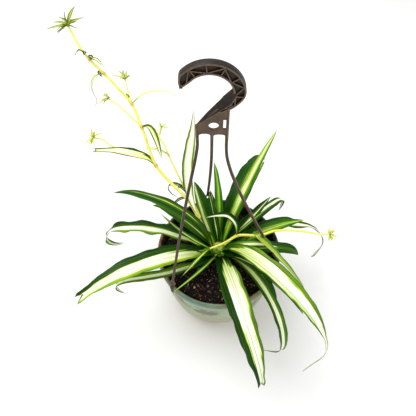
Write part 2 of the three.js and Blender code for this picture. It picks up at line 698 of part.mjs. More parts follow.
// A bract: a narrow leaf that starts `clear` mm along its route, just off the stem.
function bract({ name, route, width, clear = 2.6, ...options }) {
  const curve = new THREE.CatmullRomCurve3(points3(route), false, 'centripetal');
  const length = curve.getLength();
  const steps = Math.max(5, Math.round(length / 9));
  const row = [];
  for (let i = 0; i <= steps; i += 1) {
    row.push(curve.getPointAt(Math.min(1, clear / length + (1 - clear / length) * i / steps)));
  }
  const shape = { base: 0.4, widest: 0.35, taper: 1.5, across: 3, fold: 30, ...options };
  place(name, shell(solid(blade(row, width, shape))), bractFinish);
}

const BRACTS = [
  { name: 'bract_tall_runner_broad', width: 13, clear: 6.4,
    route: [[-78, 65, 211], [-88, 71, 216], [-104, 74, 221], [-126, 80, 221], [-157, 88, 212]] },
  { name: 'bract_tall_runner_inner', width: 8,
    route: [[-93, 94, 247], [-83, 89, 251], [-75, 76, 246], [-68, 57, 232]] },
  { name: 'bract_tall_runner_fine', width: 3.4,
    route: [[-104, 113, 266], [-90, 117, 276], [-74, 117, 282], [-59, 119, 278], [-50, 121, 270]] },
  { name: 'bract_tall_runner_hooked', width: 3.4,
    route: [[-133, 130, 296], [-142, 124, 297], [-147, 118, 289], [-147, 117, 279],
      [-145, 116, 269], [-149, 114, 260]] },
  { name: 'bract_tall_runner_upper', width: 4,
    route: [[-148, 138, 309], [-140, 135, 312], [-131, 128, 307]] },
  { name: 'bract_right_runner', width: 10, clear: 3.6,
    route: [[51, 1, 152], [47, -9, 167], [44.2, -17, 176.5], [48, -24.8, 180.3], [54.8, -27.8, 174.8],
      [61.5, -29.3, 165], [68.5, -31.3, 154], [77, -35, 141], [86.5, -42, 131],
      [97, -54.5, 122.5]] },
  { name: 'bract_right_runner_curl', width: 9, clear: 3,
    route: [[23, 4, 146], [21, 14, 160], [11, 21, 167], [-2, 23, 165], [-17, 25, 156]] },
  { name: 'bract_right_shoot_left', width: 6, clear: 1.7,
    route: [[-12, -20, 155.6], [-29, -14, 163], [-49, 0, 166], [-73, 25, 163]] },
  { name: 'bract_right_shoot_front', width: 5, clear: 1.9,
    route: [[-12, -20, 155.6], [-21, -29, 156], [-29, -36, 152], [-45, -49, 140]] },
  { name: 'bract_pale_runner_curl', width: 4.2, clear: 3.6,
    route: [[-43, 54, 177], [-52, 57, 182], [-61, 60, 179], [-65, 60, 172], [-61, 55, 167],
      [-54, 52, 164]] },
  { name: 'bract_pale_runner', width: 4,
    route: [[-63, 81, 212], [-71, 82, 217], [-84, 86, 218], [-98, 89, 212]] },
];

BRACTS.forEach(bract);

// ---------------------------------------------------------------- plantlets on the runners

const GOLDEN_ANGLE = 137.5;
const BUD = 1.9;                 // radius of the bud in the middle of a plantlet

// A tuft of young leaves round a bud, just past the end of a stem.
function tuft({ name, stemRows, count, length, width, spread = 75, lift = 0 }) {
  const [before, end] = points3(stemRows.slice(-2));
  const along = end.clone().sub(before).normalize();
  const middle = end.clone().addScaledVector(along, BUD + GAP);
  along.z += lift;
  along.normalize();
  const across = new THREE.Vector3(0, 0, 1).cross(along).normalize();
  const above = along.clone().cross(across);
  const pieces = [new THREE.OctahedronGeometry(BUD, 1).translate(...middle)];
  for (let i = 0; i < count; i += 1) {
    const turn = radians(GOLDEN_ANGLE * i);
    const tilt = radians(spread * (0.35 + 0.65 * i / (count - 1)));
    const radial = across.clone()
      .multiplyScalar(Math.cos(turn))
      .addScaledVector(above, Math.sin(turn));
    const reach = length * (0.7 + 0.3 * ((i * 0.618) % 1));
    const row = [0, 1, 2, 3].map((step) => {
      const part = step / 3;
      return middle.clone()
        .addScaledVector(along, 0.8 + reach * Math.cos(tilt) * part * (1 - 0.35 * part))
        .addScaledVector(radial, 0.5 + reach * Math.sin(tilt) * part)
        .add(new THREE.Vector3(0, 0, -0.22 * reach * part * part));
    });
    pieces.push(blade(row, width, { base: 0.5, widest: 0.35, across: 3, fold: 26, tip: 0.15 }));
  }
  place(name, shell(joined(pieces)), plantletFinish);
}

const TUFTS = [
  { name: 'plantlet_tall_runner_tip', stemRows: TALL_RUNNER, count: 9, length: 24, width: 5 },
  { name: 'plantlet_tall_runner_low', stemRows: TALL_SHOOTS[0], count: 6, length: 18, width: 4.5,
    lift: 0.5 },
  { name: 'plantlet_tall_runner_middle', stemRows: TALL_SHOOTS[1], count: 5, length: 15, width: 4 },
  { name: 'plantlet_tall_runner_high', stemRows: TALL_SHOOTS[2], count: 5, length: 15, width: 4 },
  { name: 'plantlet_pale_runner_tip', stemRows: PALE_RUNNER, count: 4, length: 13, width: 3.5 },
  { name: 'plantlet_right_runner_tip', stemRows: RIGHT_RUNNER, count: 7, length: 17, width: 4.5 },
];

TUFTS.forEach(tuft);

export default plant;
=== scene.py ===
"""A variegated spider plant in a moulded hanging pot, standing on a pale floor."""

import math
import random
from functools import partial
from types import SimpleNamespace

import bpy
from mathutils import Matrix, Vector


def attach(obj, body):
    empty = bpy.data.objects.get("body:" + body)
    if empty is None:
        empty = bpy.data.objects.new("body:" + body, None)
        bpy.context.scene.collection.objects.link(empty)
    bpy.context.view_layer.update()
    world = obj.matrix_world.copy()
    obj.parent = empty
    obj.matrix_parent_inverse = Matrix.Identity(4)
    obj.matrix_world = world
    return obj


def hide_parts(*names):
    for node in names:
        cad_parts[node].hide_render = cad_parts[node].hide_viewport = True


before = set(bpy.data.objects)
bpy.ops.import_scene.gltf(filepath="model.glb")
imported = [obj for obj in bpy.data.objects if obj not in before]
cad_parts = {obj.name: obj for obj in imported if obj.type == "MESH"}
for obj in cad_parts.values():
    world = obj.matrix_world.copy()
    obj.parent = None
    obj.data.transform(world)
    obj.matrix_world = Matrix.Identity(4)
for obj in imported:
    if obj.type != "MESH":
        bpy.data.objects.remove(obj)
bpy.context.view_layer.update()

# ------------------------------------------------------------------ camera, light and floor
# The camera looks down on the pot steeply, so the rim is a wide oval and the hook comes
# towards the lens. The floor is a pale matt board under soft light.

CAMERA_PLACE = (-0.014, -0.2872, 0.6297)
CAMERA_TILT = 34.6               # degrees up from straight down
CAMERA_LENS = 38.6               # mm
SENSOR_WIDTH = 36                # mm
NEAREST = 0.01                   # metres from the lens


def placed(name, data):
    """A new object with the given data, linked to the scene."""
    made = bpy.data.objects.new(name, data)
    bpy.context.scene.collection.objects.link(made)
    return made


camera_data = bpy.data.cameras.new("photo_camera")
camera_data.lens = CAMERA_LENS
camera_data.sensor_width = SENSOR_WIDTH
camera_data.clip_start = NEAREST
camera = placed("photo_camera", camera_data)
camera.location = CAMERA_PLACE
camera.rotation_euler = (math.radians(CAMERA_TILT), 0, 0)
bpy.context.scene.camera = camera
bpy.context.scene.view_settings.view_transform = "Standard"


def linear(hex_colour):
    """An sRGB hex colour as a linear RGBA colour."""
    parts = [int(hex_colour[i:i + 2], 16) / 255 for i in (1, 3, 5)]
    return [p / 12.92 if p <= 0.04045 else ((p + 0.055) / 1.055) ** 2.4 for p in parts] + [1.0]


def feed(tree, node, *sources, **named):
    """Sets or links a node's inputs, in order or by name; a hex colour is made linear."""
    pairs = list(zip([socket for socket in node.inputs if socket.enabled], sources))
    pairs += [(node.inputs[key.replace("_", " ")], value) for key, value in named.items()]
    for socket, value in pairs:
        if isinstance(value, bpy.types.NodeSocket):
            tree.links.new(value, socket)
        elif isinstance(value, str) and value.startswith("#"):
            socket.default_value = linear(value)
        elif value is not None:
            socket.default_value = value


PREFIXES = ("ShaderNode", "GeometryNode", "FunctionNode", "")
SIGNS = {"+": "Math.ADD", "-": "Math.SUBTRACT", "*": "Math.MULTIPLY", "/": "Math.DIVIDE",
         ">": "Math.GREATER_THAN", "<": "Math.LESS_THAN", "*+": "Math.MULTIPLY_ADD"}


def add_node(tree, kind, *sources, out=0, stops=(), kept=(), **settings):
    """Adds a node and returns its output number `out`, or the outputs of a slice. `kind` is a
    sign, or the node's type without its prefix and with any operation after a dot. `stops` are
    a colour ramp's places and colours, and `kept` the names and kinds of what a capture keeps.
    Settings in small letters are the node's own; the rest feed its inputs, as sources do."""
    family, _, operation = SIGNS.get(kind, kind).partition(".")
    made = tree.nodes.new(next(p + family for p in PREFIXES if hasattr(bpy.types, p + family)))
    if operation:
        made.operation = operation
    for key in [key for key in settings if key.islower()]:
        setattr(made, key, settings.pop(key))
    for name, what in kept:
        made.capture_items.new(what, name)
    if stops:
        elements = made.color_ramp.elements
        while len(elements) < len(stops):
            elements.new(0.5)
        for element, (place, colour) in zip(elements, stops):
            element.position = place
            element.color = linear(colour)
    feed(tree, made, *sources, **settings)
    return [socket for socket in made.outputs if socket.enabled][out]


def new_material(name):
    """A node material, what adds a node to it, and what feeds its principled shader."""
    material = bpy.data.materials.new(name)
    material.use_nodes = True
    tree = material.node_tree
    return material, partial(add_node, tree), partial(feed, tree, tree.nodes["Principled BSDF"])


FLOOR_HALF = 3.0                 # metres

floor_mesh = bpy.data.meshes.new("floor")
floor_mesh.from_pydata([(x * FLOOR_HALF, y * FLOOR_HALF, 0) for x, y in (
    (-1, -1), (1, -1), (1, 1), (-1, 1))], [], [(0, 1, 2, 3)])
floor = placed("floor", floor_mesh)

# Painted board: matt, with a faint speckle of about 1 mm.
board, add, dress = new_material("painted_board")
speckle = add("TexNoise", add("TexCoord", out=3), Scale=900.0, Detail=2.0)
dress(Base_Color=add("ValToRGB", speckle, stops=[(0.3, "#f7f7f6"), (0.7, "#fbfbfa")]),
      Roughness=0.9, Specular_IOR_Level=0.2)
floor_mesh.materials.append(board)

world = bpy.data.worlds.new("studio")
world.use_nodes = True
feed(world.node_tree, world.node_tree.nodes["Background"], Color="#ffffff", Strength=0.62)
bpy.context.scene.world = world

# name, place, size in metres, power in watts
LAMPS = [
    ("overhead_softbox", (-0.5, 0.3, 1.7), 1.4, 21),
    ("front_softbox", (0.9, -1.1, 1.1), 1.0, 6),
]
AIM = Vector((0, 0, 0.15))

for lamp_name, place, size, power in LAMPS:
    lamp_data = bpy.data.lights.new(lamp_name, "AREA")
    lamp_data.shape = "DISK"
    lamp_data.size = size
    lamp_data.energy = power
    lamp = placed(lamp_name, lamp_data)
    lamp.location = place
    lamp.rotation_euler = (AIM - Vector(place)).to_track_quat("-Z", "Y").to_euler()

# ------------------------------------------------------------------ pot
# A round hanging pot, moulded in polypropylene with a rolled rim band. Its skin is finished
# to look like an old glaze: blue-green on the band, grey-green below with brown stains.

MM = 0.001
POT_HEIGHT = 120
RIM_RADIUS = 80
RIM_BAND = 11
FLOOR_THICK = 3
WALL = 3
INNER_TOP = 106                  # where the inner wall runs into the rim
WALL_OUTSIDE = [
    (54.5, 2), (60, 13), (67, 32), (71.5, 54), (74, 76), (75.4, 96), (76, POT_HEIGHT - RIM_BAND),
]
RIM_SECTION = [
    (-3.2, -10.9), (-1.6, -10.6), (-0.5, -9.6), (0, -8), (0, -3), (-0.25, -1.6), (-0.9, -0.6),
    (-1.9, -0.1), (-2.8, -0.1), (-3.8, -0.6), (-4.6, -1.8), (-5.2, -3.6), (-5.5, -6),
]
POT_SIDES = 144
DRAINS = 4
DRAIN_RADIUS = 5
DRAIN_CIRCLE = 32


def through(points, step):
    """Points about `step` apart on a smooth curve through the given ones."""
    points = [Vector(p) for p in points]
    ends = [2 * points[0] - points[1], *points, 2 * points[-1] - points[-2]]
    row = []
    for p0, p1, p2, p3 in zip(ends, ends[1:], ends[2:], ends[3:]):
        t0, t1, t2 = ((b - a).length ** 0.5 for a, b in ((p0, p1), (p1, p2), (p2, p3)))
        leave = ((p1 - p0) / t0 - (p2 - p0) / (t0 + t1) + (p2 - p1) / t1) * t1
        reach = ((p2 - p1) / t1 - (p3 - p1) / (t1 + t2) + (p3 - p2) / t2) * t1
        count = max(1, round((p2 - p1).length / step))
        for i in range(count):
            t = i / count
            row.append(p1 + leave * t + (3 * (p2 - p1) - 2 * leave - reach) * t ** 2
                       + (leave + reach - 2 * (p2 - p1)) * t ** 3)
    return row + [points[-1]]


def turned(name, profile, sides):
    """A closed skin turned round the Z axis from (radius, height) corners in millimetres."""
    rings, points, faces = [], [], []
    for radius, height in profile:
        count = sides if radius > 0 else 1
        rings.append(range(len(points), len(points) + count))
        for angle in (2 * math.pi * i / sides for i in range(count)):
            points.append((radius * MM * math.cos(angle), radius * MM * math.sin(angle),
                           height * MM))
    for low, high in zip(rings, rings[1:]):
        for i in range(sides):
            a, b = low[i % len(low)], low[(i + 1) % len(low)]
            c, d = high[(i + 1) % len(high)], high[i % len(high)]
            faces.append(list(dict.fromkeys((a, b, c, d))))
    mesh = bpy.data.meshes.new(name)
    mesh.from_pydata(points, [], faces)
    mesh.polygons.foreach_set("use_smooth", [True] * len(faces))
    return placed(name, mesh)


def baked(piece):
    """The piece, with its evaluated shape as its plain mesh and its modifiers taken off."""
    graph = bpy.context.evaluated_depsgraph_get()
    piece.data = bpy.data.meshes.new_from_object(
        piece.evaluated_get(graph), preserve_all_data_layers=True, depsgraph=graph)
    piece.modifiers.clear()
    return piece


wall_line = [(p.x, p.y) for p in through(WALL_OUTSIDE, 5)]
inner_line = [(r - WALL, z) for r, z in reversed(wall_line) if FLOOR_THICK + 6 < z < INNER_TOP]
inner_foot = inner_line[-1][0]
pot = turned("pot_body", [
    (0, 0), (20, 0), (49.5, 0), (51, 0.15), (52.6, 0.5), (53.8, 1.1), *wall_line,
    *[(RIM_RADIUS + r, POT_HEIGHT + z) for r, z in RIM_SECTION], *inner_line,
    (inner_foot - 2, FLOOR_THICK + 3), (inner_foot - 6, FLOOR_THICK), (20, FLOOR_THICK),
    (0, FLOOR_THICK)], POT_SIDES)
for angle in (math.pi * (0.25 + 2 * i / DRAINS) for i in range(DRAINS)):
    bpy.ops.mesh.primitive_cylinder_add(
        vertices=32, radius=DRAIN_RADIUS * MM, depth=4 * FLOOR_THICK * MM,
        location=(DRAIN_CIRCLE * MM * math.cos(angle), DRAIN_CIRCLE * MM * math.sin(angle), 0))
    drill = bpy.context.object
    cut = pot.modifiers.new("drain", "BOOLEAN")
    cut.operation = "DIFFERENCE"
    cut.object = drill
    baked(pot)
    bpy.data.objects.remove(drill)

# Polypropylene with a printed antique finish: satin, blotched in patches up to 30 mm across.
ALL = slice(None)                # stands for every output of a node
antique, add, dress = new_material("antique_polypropylene")
object_place = add("TexCoord", out=3)
_, northing, height = add("SeparateXYZ", object_place, out=ALL)
blotch = add("TexNoise", object_place, Scale=38.0, Detail=5.0, Roughness=0.6)
grain = add("TexNoise", object_place, Scale=260.0, Detail=4.0)
ragged = add("*+", blotch, 0.022, add("*+", grain, 0.006, height))
glaze = add("ValToRGB", add("MapRange", ragged, 0.014, 0.134), stops=[
    (0.0, "#a98566"), (0.06, "#b39e7c"), (0.2, "#a9a383"), (0.45, "#a3a685"), (0.66, "#9fae90"),
    (0.8, "#8fae95"), (0.88, "#7aa08a"), (0.94, "#4f7662"), (0.985, "#456a55")])
patchy = add("MapRange", blotch, 0.36, 0.66)
mottled = add("*", add("MapRange", grain, 0.5, 0.7), add("MapRange", blotch, 0.62, 0.38))

# Brown stains gather in a belt below the band, and most of all in a patch at the front.
BELT_HEIGHT = 0.083
PATCH_STRETCH = (1.0, 1.0, 2.4)
PATCH_PLACE = (-0.016, -0.073, 0.187)        # stretched in the same way
stain_shade_and_wear_noise = add("TexNoise", add("Mapping", object_place, Scale=(1, 1, 2.2)), Scale=30.0,
                  Detail=7.0, Roughness=0.72)
belt = add("MapRange", add("Math.ABSOLUTE", add("-", height, BELT_HEIGHT)), 0.016, 0.006)
from_patch = add("VectorMath.DISTANCE", add(
    "VectorMath.MULTIPLY", object_place, PATCH_STRETCH), PATCH_PLACE)
more_here = add("MapRange", from_patch, 0.02, 0.008, 0.0, 0.2)
stain = add("*", belt, add("MapRange", add("+", stain_shade_and_wear_noise, more_here), 0.5, 0.56))

# The rim's inside above the soil is painted nearly black, partly as soil stain and partly as
# painted shade inside the pot, and its far side is painted dark in patches, as painted shade
# from the leaves. Handling has worn it to tan at the left and at the front right.
WORN_WAYS = ((-1, 0, 0), (0.7, -0.7, 0))
from_axis = add("VectorMath.LENGTH", add("VectorMath.MULTIPLY", object_place, (1.0, 1.0, 0.0)))
far_side = add("MapRange", add("*+", blotch, 0.03, northing), -0.012, 0.022)
on_rim = add("MapRange", height, 0.108, 0.1125)
# Painted shade and soil stain: the inside of the rim, above the soil, goes nearly black.
inside = add("*", add("MapRange", height, 0.100, 0.104),
             add("MapRange", add("*+", grain, 0.001, from_axis), 0.0778, 0.0768))
# Painted shade: the far side of the rim goes dark in patches, where the leaves shade it.
painted_shade_far = add("*", add("*", far_side, on_rim),
                  add("MapRange", stain_shade_and_wear_noise, 0.62, 0.42, 0.45, 0.95))
rubbed = add("Math.MAXIMUM", *(
    add("VectorMath.DOT_PRODUCT", object_place, way) for way in WORN_WAYS))
worn_rim = add("*", add("MapRange", height, 0.1125, 0.1145),
               add("MapRange", add("*+", rubbed, 4.0, stain_shade_and_wear_noise), 0.7, 0.8))
for mask, share, tint in [
        (patchy, 0.4, "#b4bf9f"), (mottled, 0.55, "#5f6e50"), (stain, 0.85, "#6b5a49"),
        (painted_shade_far, 1.0, "#2a2c1d"), (inside, 1.0, "#14130d"), (worn_rim, 0.75, "#96683a")]:
    glaze = add("Mix", add("*", mask, share), glaze, tint, data_type="RGBA")
dress(Base_Color=glaze, IOR=1.49, Roughness=add("MapRange", blotch, 0.3, 0.7, 0.42, 0.62),
      Normal=add("Bump", Strength=0.25, Distance=0.0004, Height=grain))
pot.data.materials.clear()
pot.data.materials.append(antique)
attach(pot, "root")
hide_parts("pot")

# ------------------------------------------------------------------ potting mix
# Damp peat and composted bark, nearly black, with chips of bark and pale bits of perlite
# pressed into its top. The bed is one closed block; the chips are scattered by a rule.

SOIL_TOP = 108
SOIL_MOUND = 2.5
CROWN_RADIUS = 12
SOIL_SURFACE = [(71.5, -2.2), (69, -0.6), (66, 0.3), (56, -0.2), (44, -0.6), (33, 0.0),
                (24, 1.0), (16, 2.1), (CROWN_RADIUS - 3, SOIL_MOUND)]
SOIL_WALL = [(46, 3.5), (52, 9), (58, 20), (63, 34), (68, 56), (70.4, 80), (71.6, 98)]
SOIL_SIDES = 160
ROUGH_RING = (13, 70.5)          # radii between which the top is uneven
ROUGHNESS = 0.6
CHIP_RING = (12.5, 69.5)         # radii between which chips lie

surface_line = [(p.x, p.y + SOIL_TOP) for p in through(SOIL_SURFACE, 2.2)]
soil = turned("potting_mix", [
    (0, 3.5), *SOIL_WALL, *surface_line, (0, SOIL_TOP + SOIL_MOUND)], SOIL_SIDES)
random.seed(11)
for vertex in soil.data.vertices:
    out = vertex.co.xy.length / MM
    if vertex.co.z > (SOIL_TOP - 2) * MM and ROUGH_RING[0] < out < ROUGH_RING[1]:
        vertex.co.z += random.uniform(-ROUGHNESS * MM, ROUGHNESS * MM)

# Peat is dull and crumbly, in grains of 2 mm and clumps of 4 mm.
peat, add, dress = new_material("damp_peat_and_bark")
object_place = add("TexCoord", out=3)
crumb = add("TexNoise", object_place, Scale=420.0, Detail=6.0, Roughness=0.7)
rough_top = add("+", crumb, add("TexVoronoi", object_place, Scale=260.0))
dress(Base_Color=add("ValToRGB", crumb, stops=[
    (0.3, "#040302"), (0.5, "#0e0906"), (0.7, "#21160e")]), Roughness=0.95,
    Specular_IOR_Level=0.25, Normal=add("Bump", Strength=0.9, Distance=0.0015, Height=rough_top))
soil.data.materials.append(peat)
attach(soil, "root")
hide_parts("potting_soil")

SOCKET_KINDS = {float: "Float", int: "Int", tuple: "Vector", type(None): "Material"}


def new_tree(name, **inputs):
    """A node group from a geometry to a geometry with the named inputs besides, what adds a
    node to it, and its inputs."""
    group = bpy.data.node_groups.new(name, "GeometryNodeTree")
    for way in ("INPUT", "OUTPUT"):
        group.interface.new_socket("geometry", in_out=way, socket_type="NodeSocketGeometry")
    for label, value in inputs.items():
        socket = group.interface.new_socket(
            label, in_out="INPUT", socket_type="NodeSocket" + SOCKET_KINDS[type(value)])
        if value is not None:
            socket.default_value = value
    entry = group.nodes.new("NodeGroupInput")
    given = SimpleNamespace(**{socket.name: socket for socket in entry.outputs if socket.name})
    return group, partial(add_node, group), given


def end_tree(add, geometry, material):
    """Realizes the instances, sets the material and ends the group."""
    solid = add("SetMaterial", add("RealizeInstances", geometry), Material=material)
    add("NodeGroupOutput", solid, out=ALL)


def run_tree(name, mesh, group, **values):
    """A piece whose plain mesh the group makes from `mesh` and the named values."""
    piece = placed(name, mesh)
    modifier = piece.modifiers.new("shape", "NODES")
    modifier.node_group = group
    for item in group.interface.items_tree:
        if item.in_out == "INPUT" and item.name in values:
            modifier[item.identifier] = values[item.name]
    return baked(piece)


# Chips are lumps of 2 mm at a size of 1, scattered where the bed faces up, between the crown
# and the wall.
chip_tree, add, given = new_tree(
    "bark_scatter", density=60000.0, smallest=0.4, largest=1.0, flatness=0.5, longest=3.0,
    shade_low=0.0, shade_high=1.0, seed=3, material=None)
normal_z = add("SeparateXYZ", add("InputNormal"), out=2)
from_axis = add("VectorMath.LENGTH", add("VectorMath.MULTIPLY", add("InputPosition"), (1, 1, 0)))
on_top = add("*", add(">", normal_z, 0.6), add(
    "*", add("<", from_axis, CHIP_RING[1] * MM), add(">", from_axis, CHIP_RING[0] * MM)))
spots = add("DistributePointsOnFaces", given.geometry, on_top, given.density, given.seed)
lump = add("VectorMath.SUBTRACT", add("TexNoise", Scale=900.0, out=1), (0.5, 0.5, 0.5))
chip = add("SetPosition", add("MeshIcoSphere", MM, 1),
           Offset=add("VectorMath.SCALE", lump, Scale=0.0016))
turn = add("RandomValue", (0, -0.5, 0), (6.3, 0.5, 6.3), None, given.seed,
           data_type="FLOAT_VECTOR")
long_side = add("RandomValue", given.smallest, given.largest, None, 5)
slender = add("RandomValue", 1.2, given.longest, None, 9)
chip_size = add("CombineXYZ", add("*", long_side, slender), long_side,
                add("*", long_side, given.flatness))
chips = add("InstanceOnPoints", spots, None, chip, None, None, turn, chip_size)
chips = add("StoreNamedAttribute", chips, None, "shade", add(
    "RandomValue", given.shade_low, given.shade_high, None, 8), domain="INSTANCE")
end_tree(add, chips, given.material)

# Bark is dull and fibrous, from nearly black to tan; the palest bits are perlite.
bark, add, dress = new_material("bark_and_perlite")
bits = add("ValToRGB", add("Attribute", attribute_name="shade", out=2), stops=[
    (0.0, "#0d0805"), (0.4, "#1c120b"), (0.66, "#3c2416"), (0.84, "#6e452a"), (0.94, "#a4794f"),
    (0.985, "#cdb28c"), (1.0, "#e2d6c0")])
fibre = add("TexNoise", add("TexCoord", out=3), Scale=1400.0, Detail=3.0)
dark_fibre = add("*", add("MapRange", fibre, 0.35, 0.65), 0.45)
dress(Base_Color=add("Mix", dark_fibre, bits, "#1a110b", data_type="RGBA"), Roughness=0.85,
      Normal=add("Bump", Strength=0.5, Distance=0.0003, Height=fibre))

# name, number per square metre, smallest and largest size, greatest length as a multiple of
# the width, shades, seed
for name, density, smallest, largest, longest, shades, seed in [
        ("bark_chips", 130000.0, 0.3, 1.1, 2.2, (0.0, 0.95), 4),
        ("long_bark", 9000.0, 0.6, 1.3, 4.5, (0.45, 1.0), 12),
        ("perlite_bits", 6500.0, 0.3, 0.75, 2.0, (0.94, 1.0), 21)]:
    chips = run_tree(name, soil.data.copy(), chip_tree, density=density, smallest=smallest,
                     largest=largest, longest=longest, shade_low=shades[0],
                     shade_high=shades[1], seed=seed, material=bark)
    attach(chips, "root")

# ------------------------------------------------------------------ large leaves
# Living strap leaves: a thin, waxy blade folded along its middle, dark green at the edges
# and cream along the centre. Each climbs out of the crown and arches down by its own rule.

CROWN_HEIGHT = 22
ROOT_SINK = 5                    # mm that a leaf's foot reaches back into the crown
LEAF_STEP = 3                    # mm between two points of a midrib

blade_tree, add, given = new_tree(
    "leaf_blade", width=0.015, root_share=0.36, widest=0.42, taper=1.8, tip_share=0.06,
    fold=0.42, thickness=0.0006, ripple=0.0, ripples=4.0, notch=0.0, thread=0.0, wander=0.2,
    seed=0.0, stripe=(0, 0.4, 0), lime_side=0.0, around=24, material=None)
midrib, along, length, middle, forward, side = add(
    "CaptureAttribute", add("MeshToCurve", given.geometry),
    *add("SplineParameter", out=slice(2)), add("InputPosition"), add("InputTangent"),
    add("InputNormal"), kept=[("along", "FLOAT"), ("length", "FLOAT"), ("middle", "VECTOR"),
                              ("forward", "VECTOR"), ("side", "VECTOR")], out=slice(6))
ring, round_place = add(
    "CaptureAttribute", add("CurvePrimitiveCircle", Resolution=given.around, Radius=1.0),
    add("InputPosition"), kept=[("round_place", "VECTOR")], out=slice(2))
skin = add("CurveToMesh", midrib, ring, Fill_Caps=True)
lateral, depth, _ = add("SeparateXYZ", round_place, out=ALL)

# Half the width: it grows from the root's share to all of it, and fades to the tip's share,
# which it keeps over the thread that ends a withered leaf.
growing = add("Math.MINIMUM", add("/", along, given.widest), 1.0)
growing = add("Math.SINE", add("*", growing, math.pi / 2))
growing = add("Math.MAXIMUM", 0.08, add("MapRange", growing, 0.0, 1.0, given.root_share, 1.0))
fading = add("MapRange", along, given.widest, add("-", 1.0, given.thread))
fading = add("-", 1.0, add("Math.POWER", fading, given.taper))
fading = add("Math.MAXIMUM", given.tip_share, add("Math.POWER", fading, 0.8))
tip_round = add("Math.MAXIMUM", add("Math.SQRT", add("MapRange", along, 1.0, 0.975, 0.04, 1.0)),
                add("*", add(">", given.notch, 0.0), 0.8))
share = add("*", tip_round, add("*", growing, fading))
half_width = add("*", share, add("*", given.width, 0.5))
# Each margin wanders in and out by itself, over 20 to 40 mm of the length.
margin = add("TexNoise", add("CombineXYZ", add("Math.SIGN", lateral), add("*", length, 42.0),
                             given.seed), Scale=1.0, Detail=1.0)
margin = add("*", add("-", margin, 0.5), given.wander)
half_width = add("*", half_width, add("*+", margin, 2.0, 1.0))

# The channel is deepest at the root; the edges ripple, out of step with each other.
fold = add("*", given.fold, add("MapRange", along, 0.0, 0.5, 1.7, 0.5))
sideways = add("Math.ABSOLUTE", lateral)
channel = add("*", half_width, add("*", add("Math.POWER", sideways, 1.4), add("Math.SINE", fold)))
phase = add("+", add("*", add("*", along, given.ripples), 2 * math.pi),
            add("*", add(">", lateral, 0.0), 1.3))
unrest = add("TexNoise", add("CombineXYZ", lateral, add("*", length, 45.0), given.seed),
             Scale=1.0, Detail=1.0)
swell = add("*", add("Math.SQRT", add("Math.SINE", add("*", along, math.pi - 0.001))),
            add("*", lateral, lateral))
ripple = add("*", add("*", given.ripple, add("Math.SINE", phase)), swell)
ripple = add("+", ripple, add("*", swell, add(
    "*", add("-", unrest, 0.5), add("*", half_width, 0.6))))
body = add("*", depth, add("*", given.thickness, 0.5))
rise = add("+", body, add("+", channel, ripple))
across = add("*", add("*", half_width, lateral), add("Math.COSINE", fold))
back = add("*", given.notch, add("*", add("-", 1.0, sideways), add(
    "Math.POWER", add("MapRange", along, 0.85, 1.0), 2.0)))
place_now = middle
for way, reach in ((side, across), (add("VectorMath.CROSS_PRODUCT", side, forward), rise),
                   (forward, add("*", back, -1.0))):
    place_now = add("VectorMath.ADD", place_now, add("VectorMath.SCALE", way, Scale=reach))
skin = add("SetPosition", skin, Position=place_now)
for label, value in (("blade", add("CombineXYZ", lateral, along, given.lime_side)),
                     ("tissue", add("CombineXYZ", across, length, given.seed)),
                     ("stripe", given.stripe)):
    skin = add("StoreNamedAttribute", skin, None, label, value, data_type="FLOAT_VECTOR",
               domain="POINT")
end_tree(add, add("SetShadeSmooth", skin), given.material)


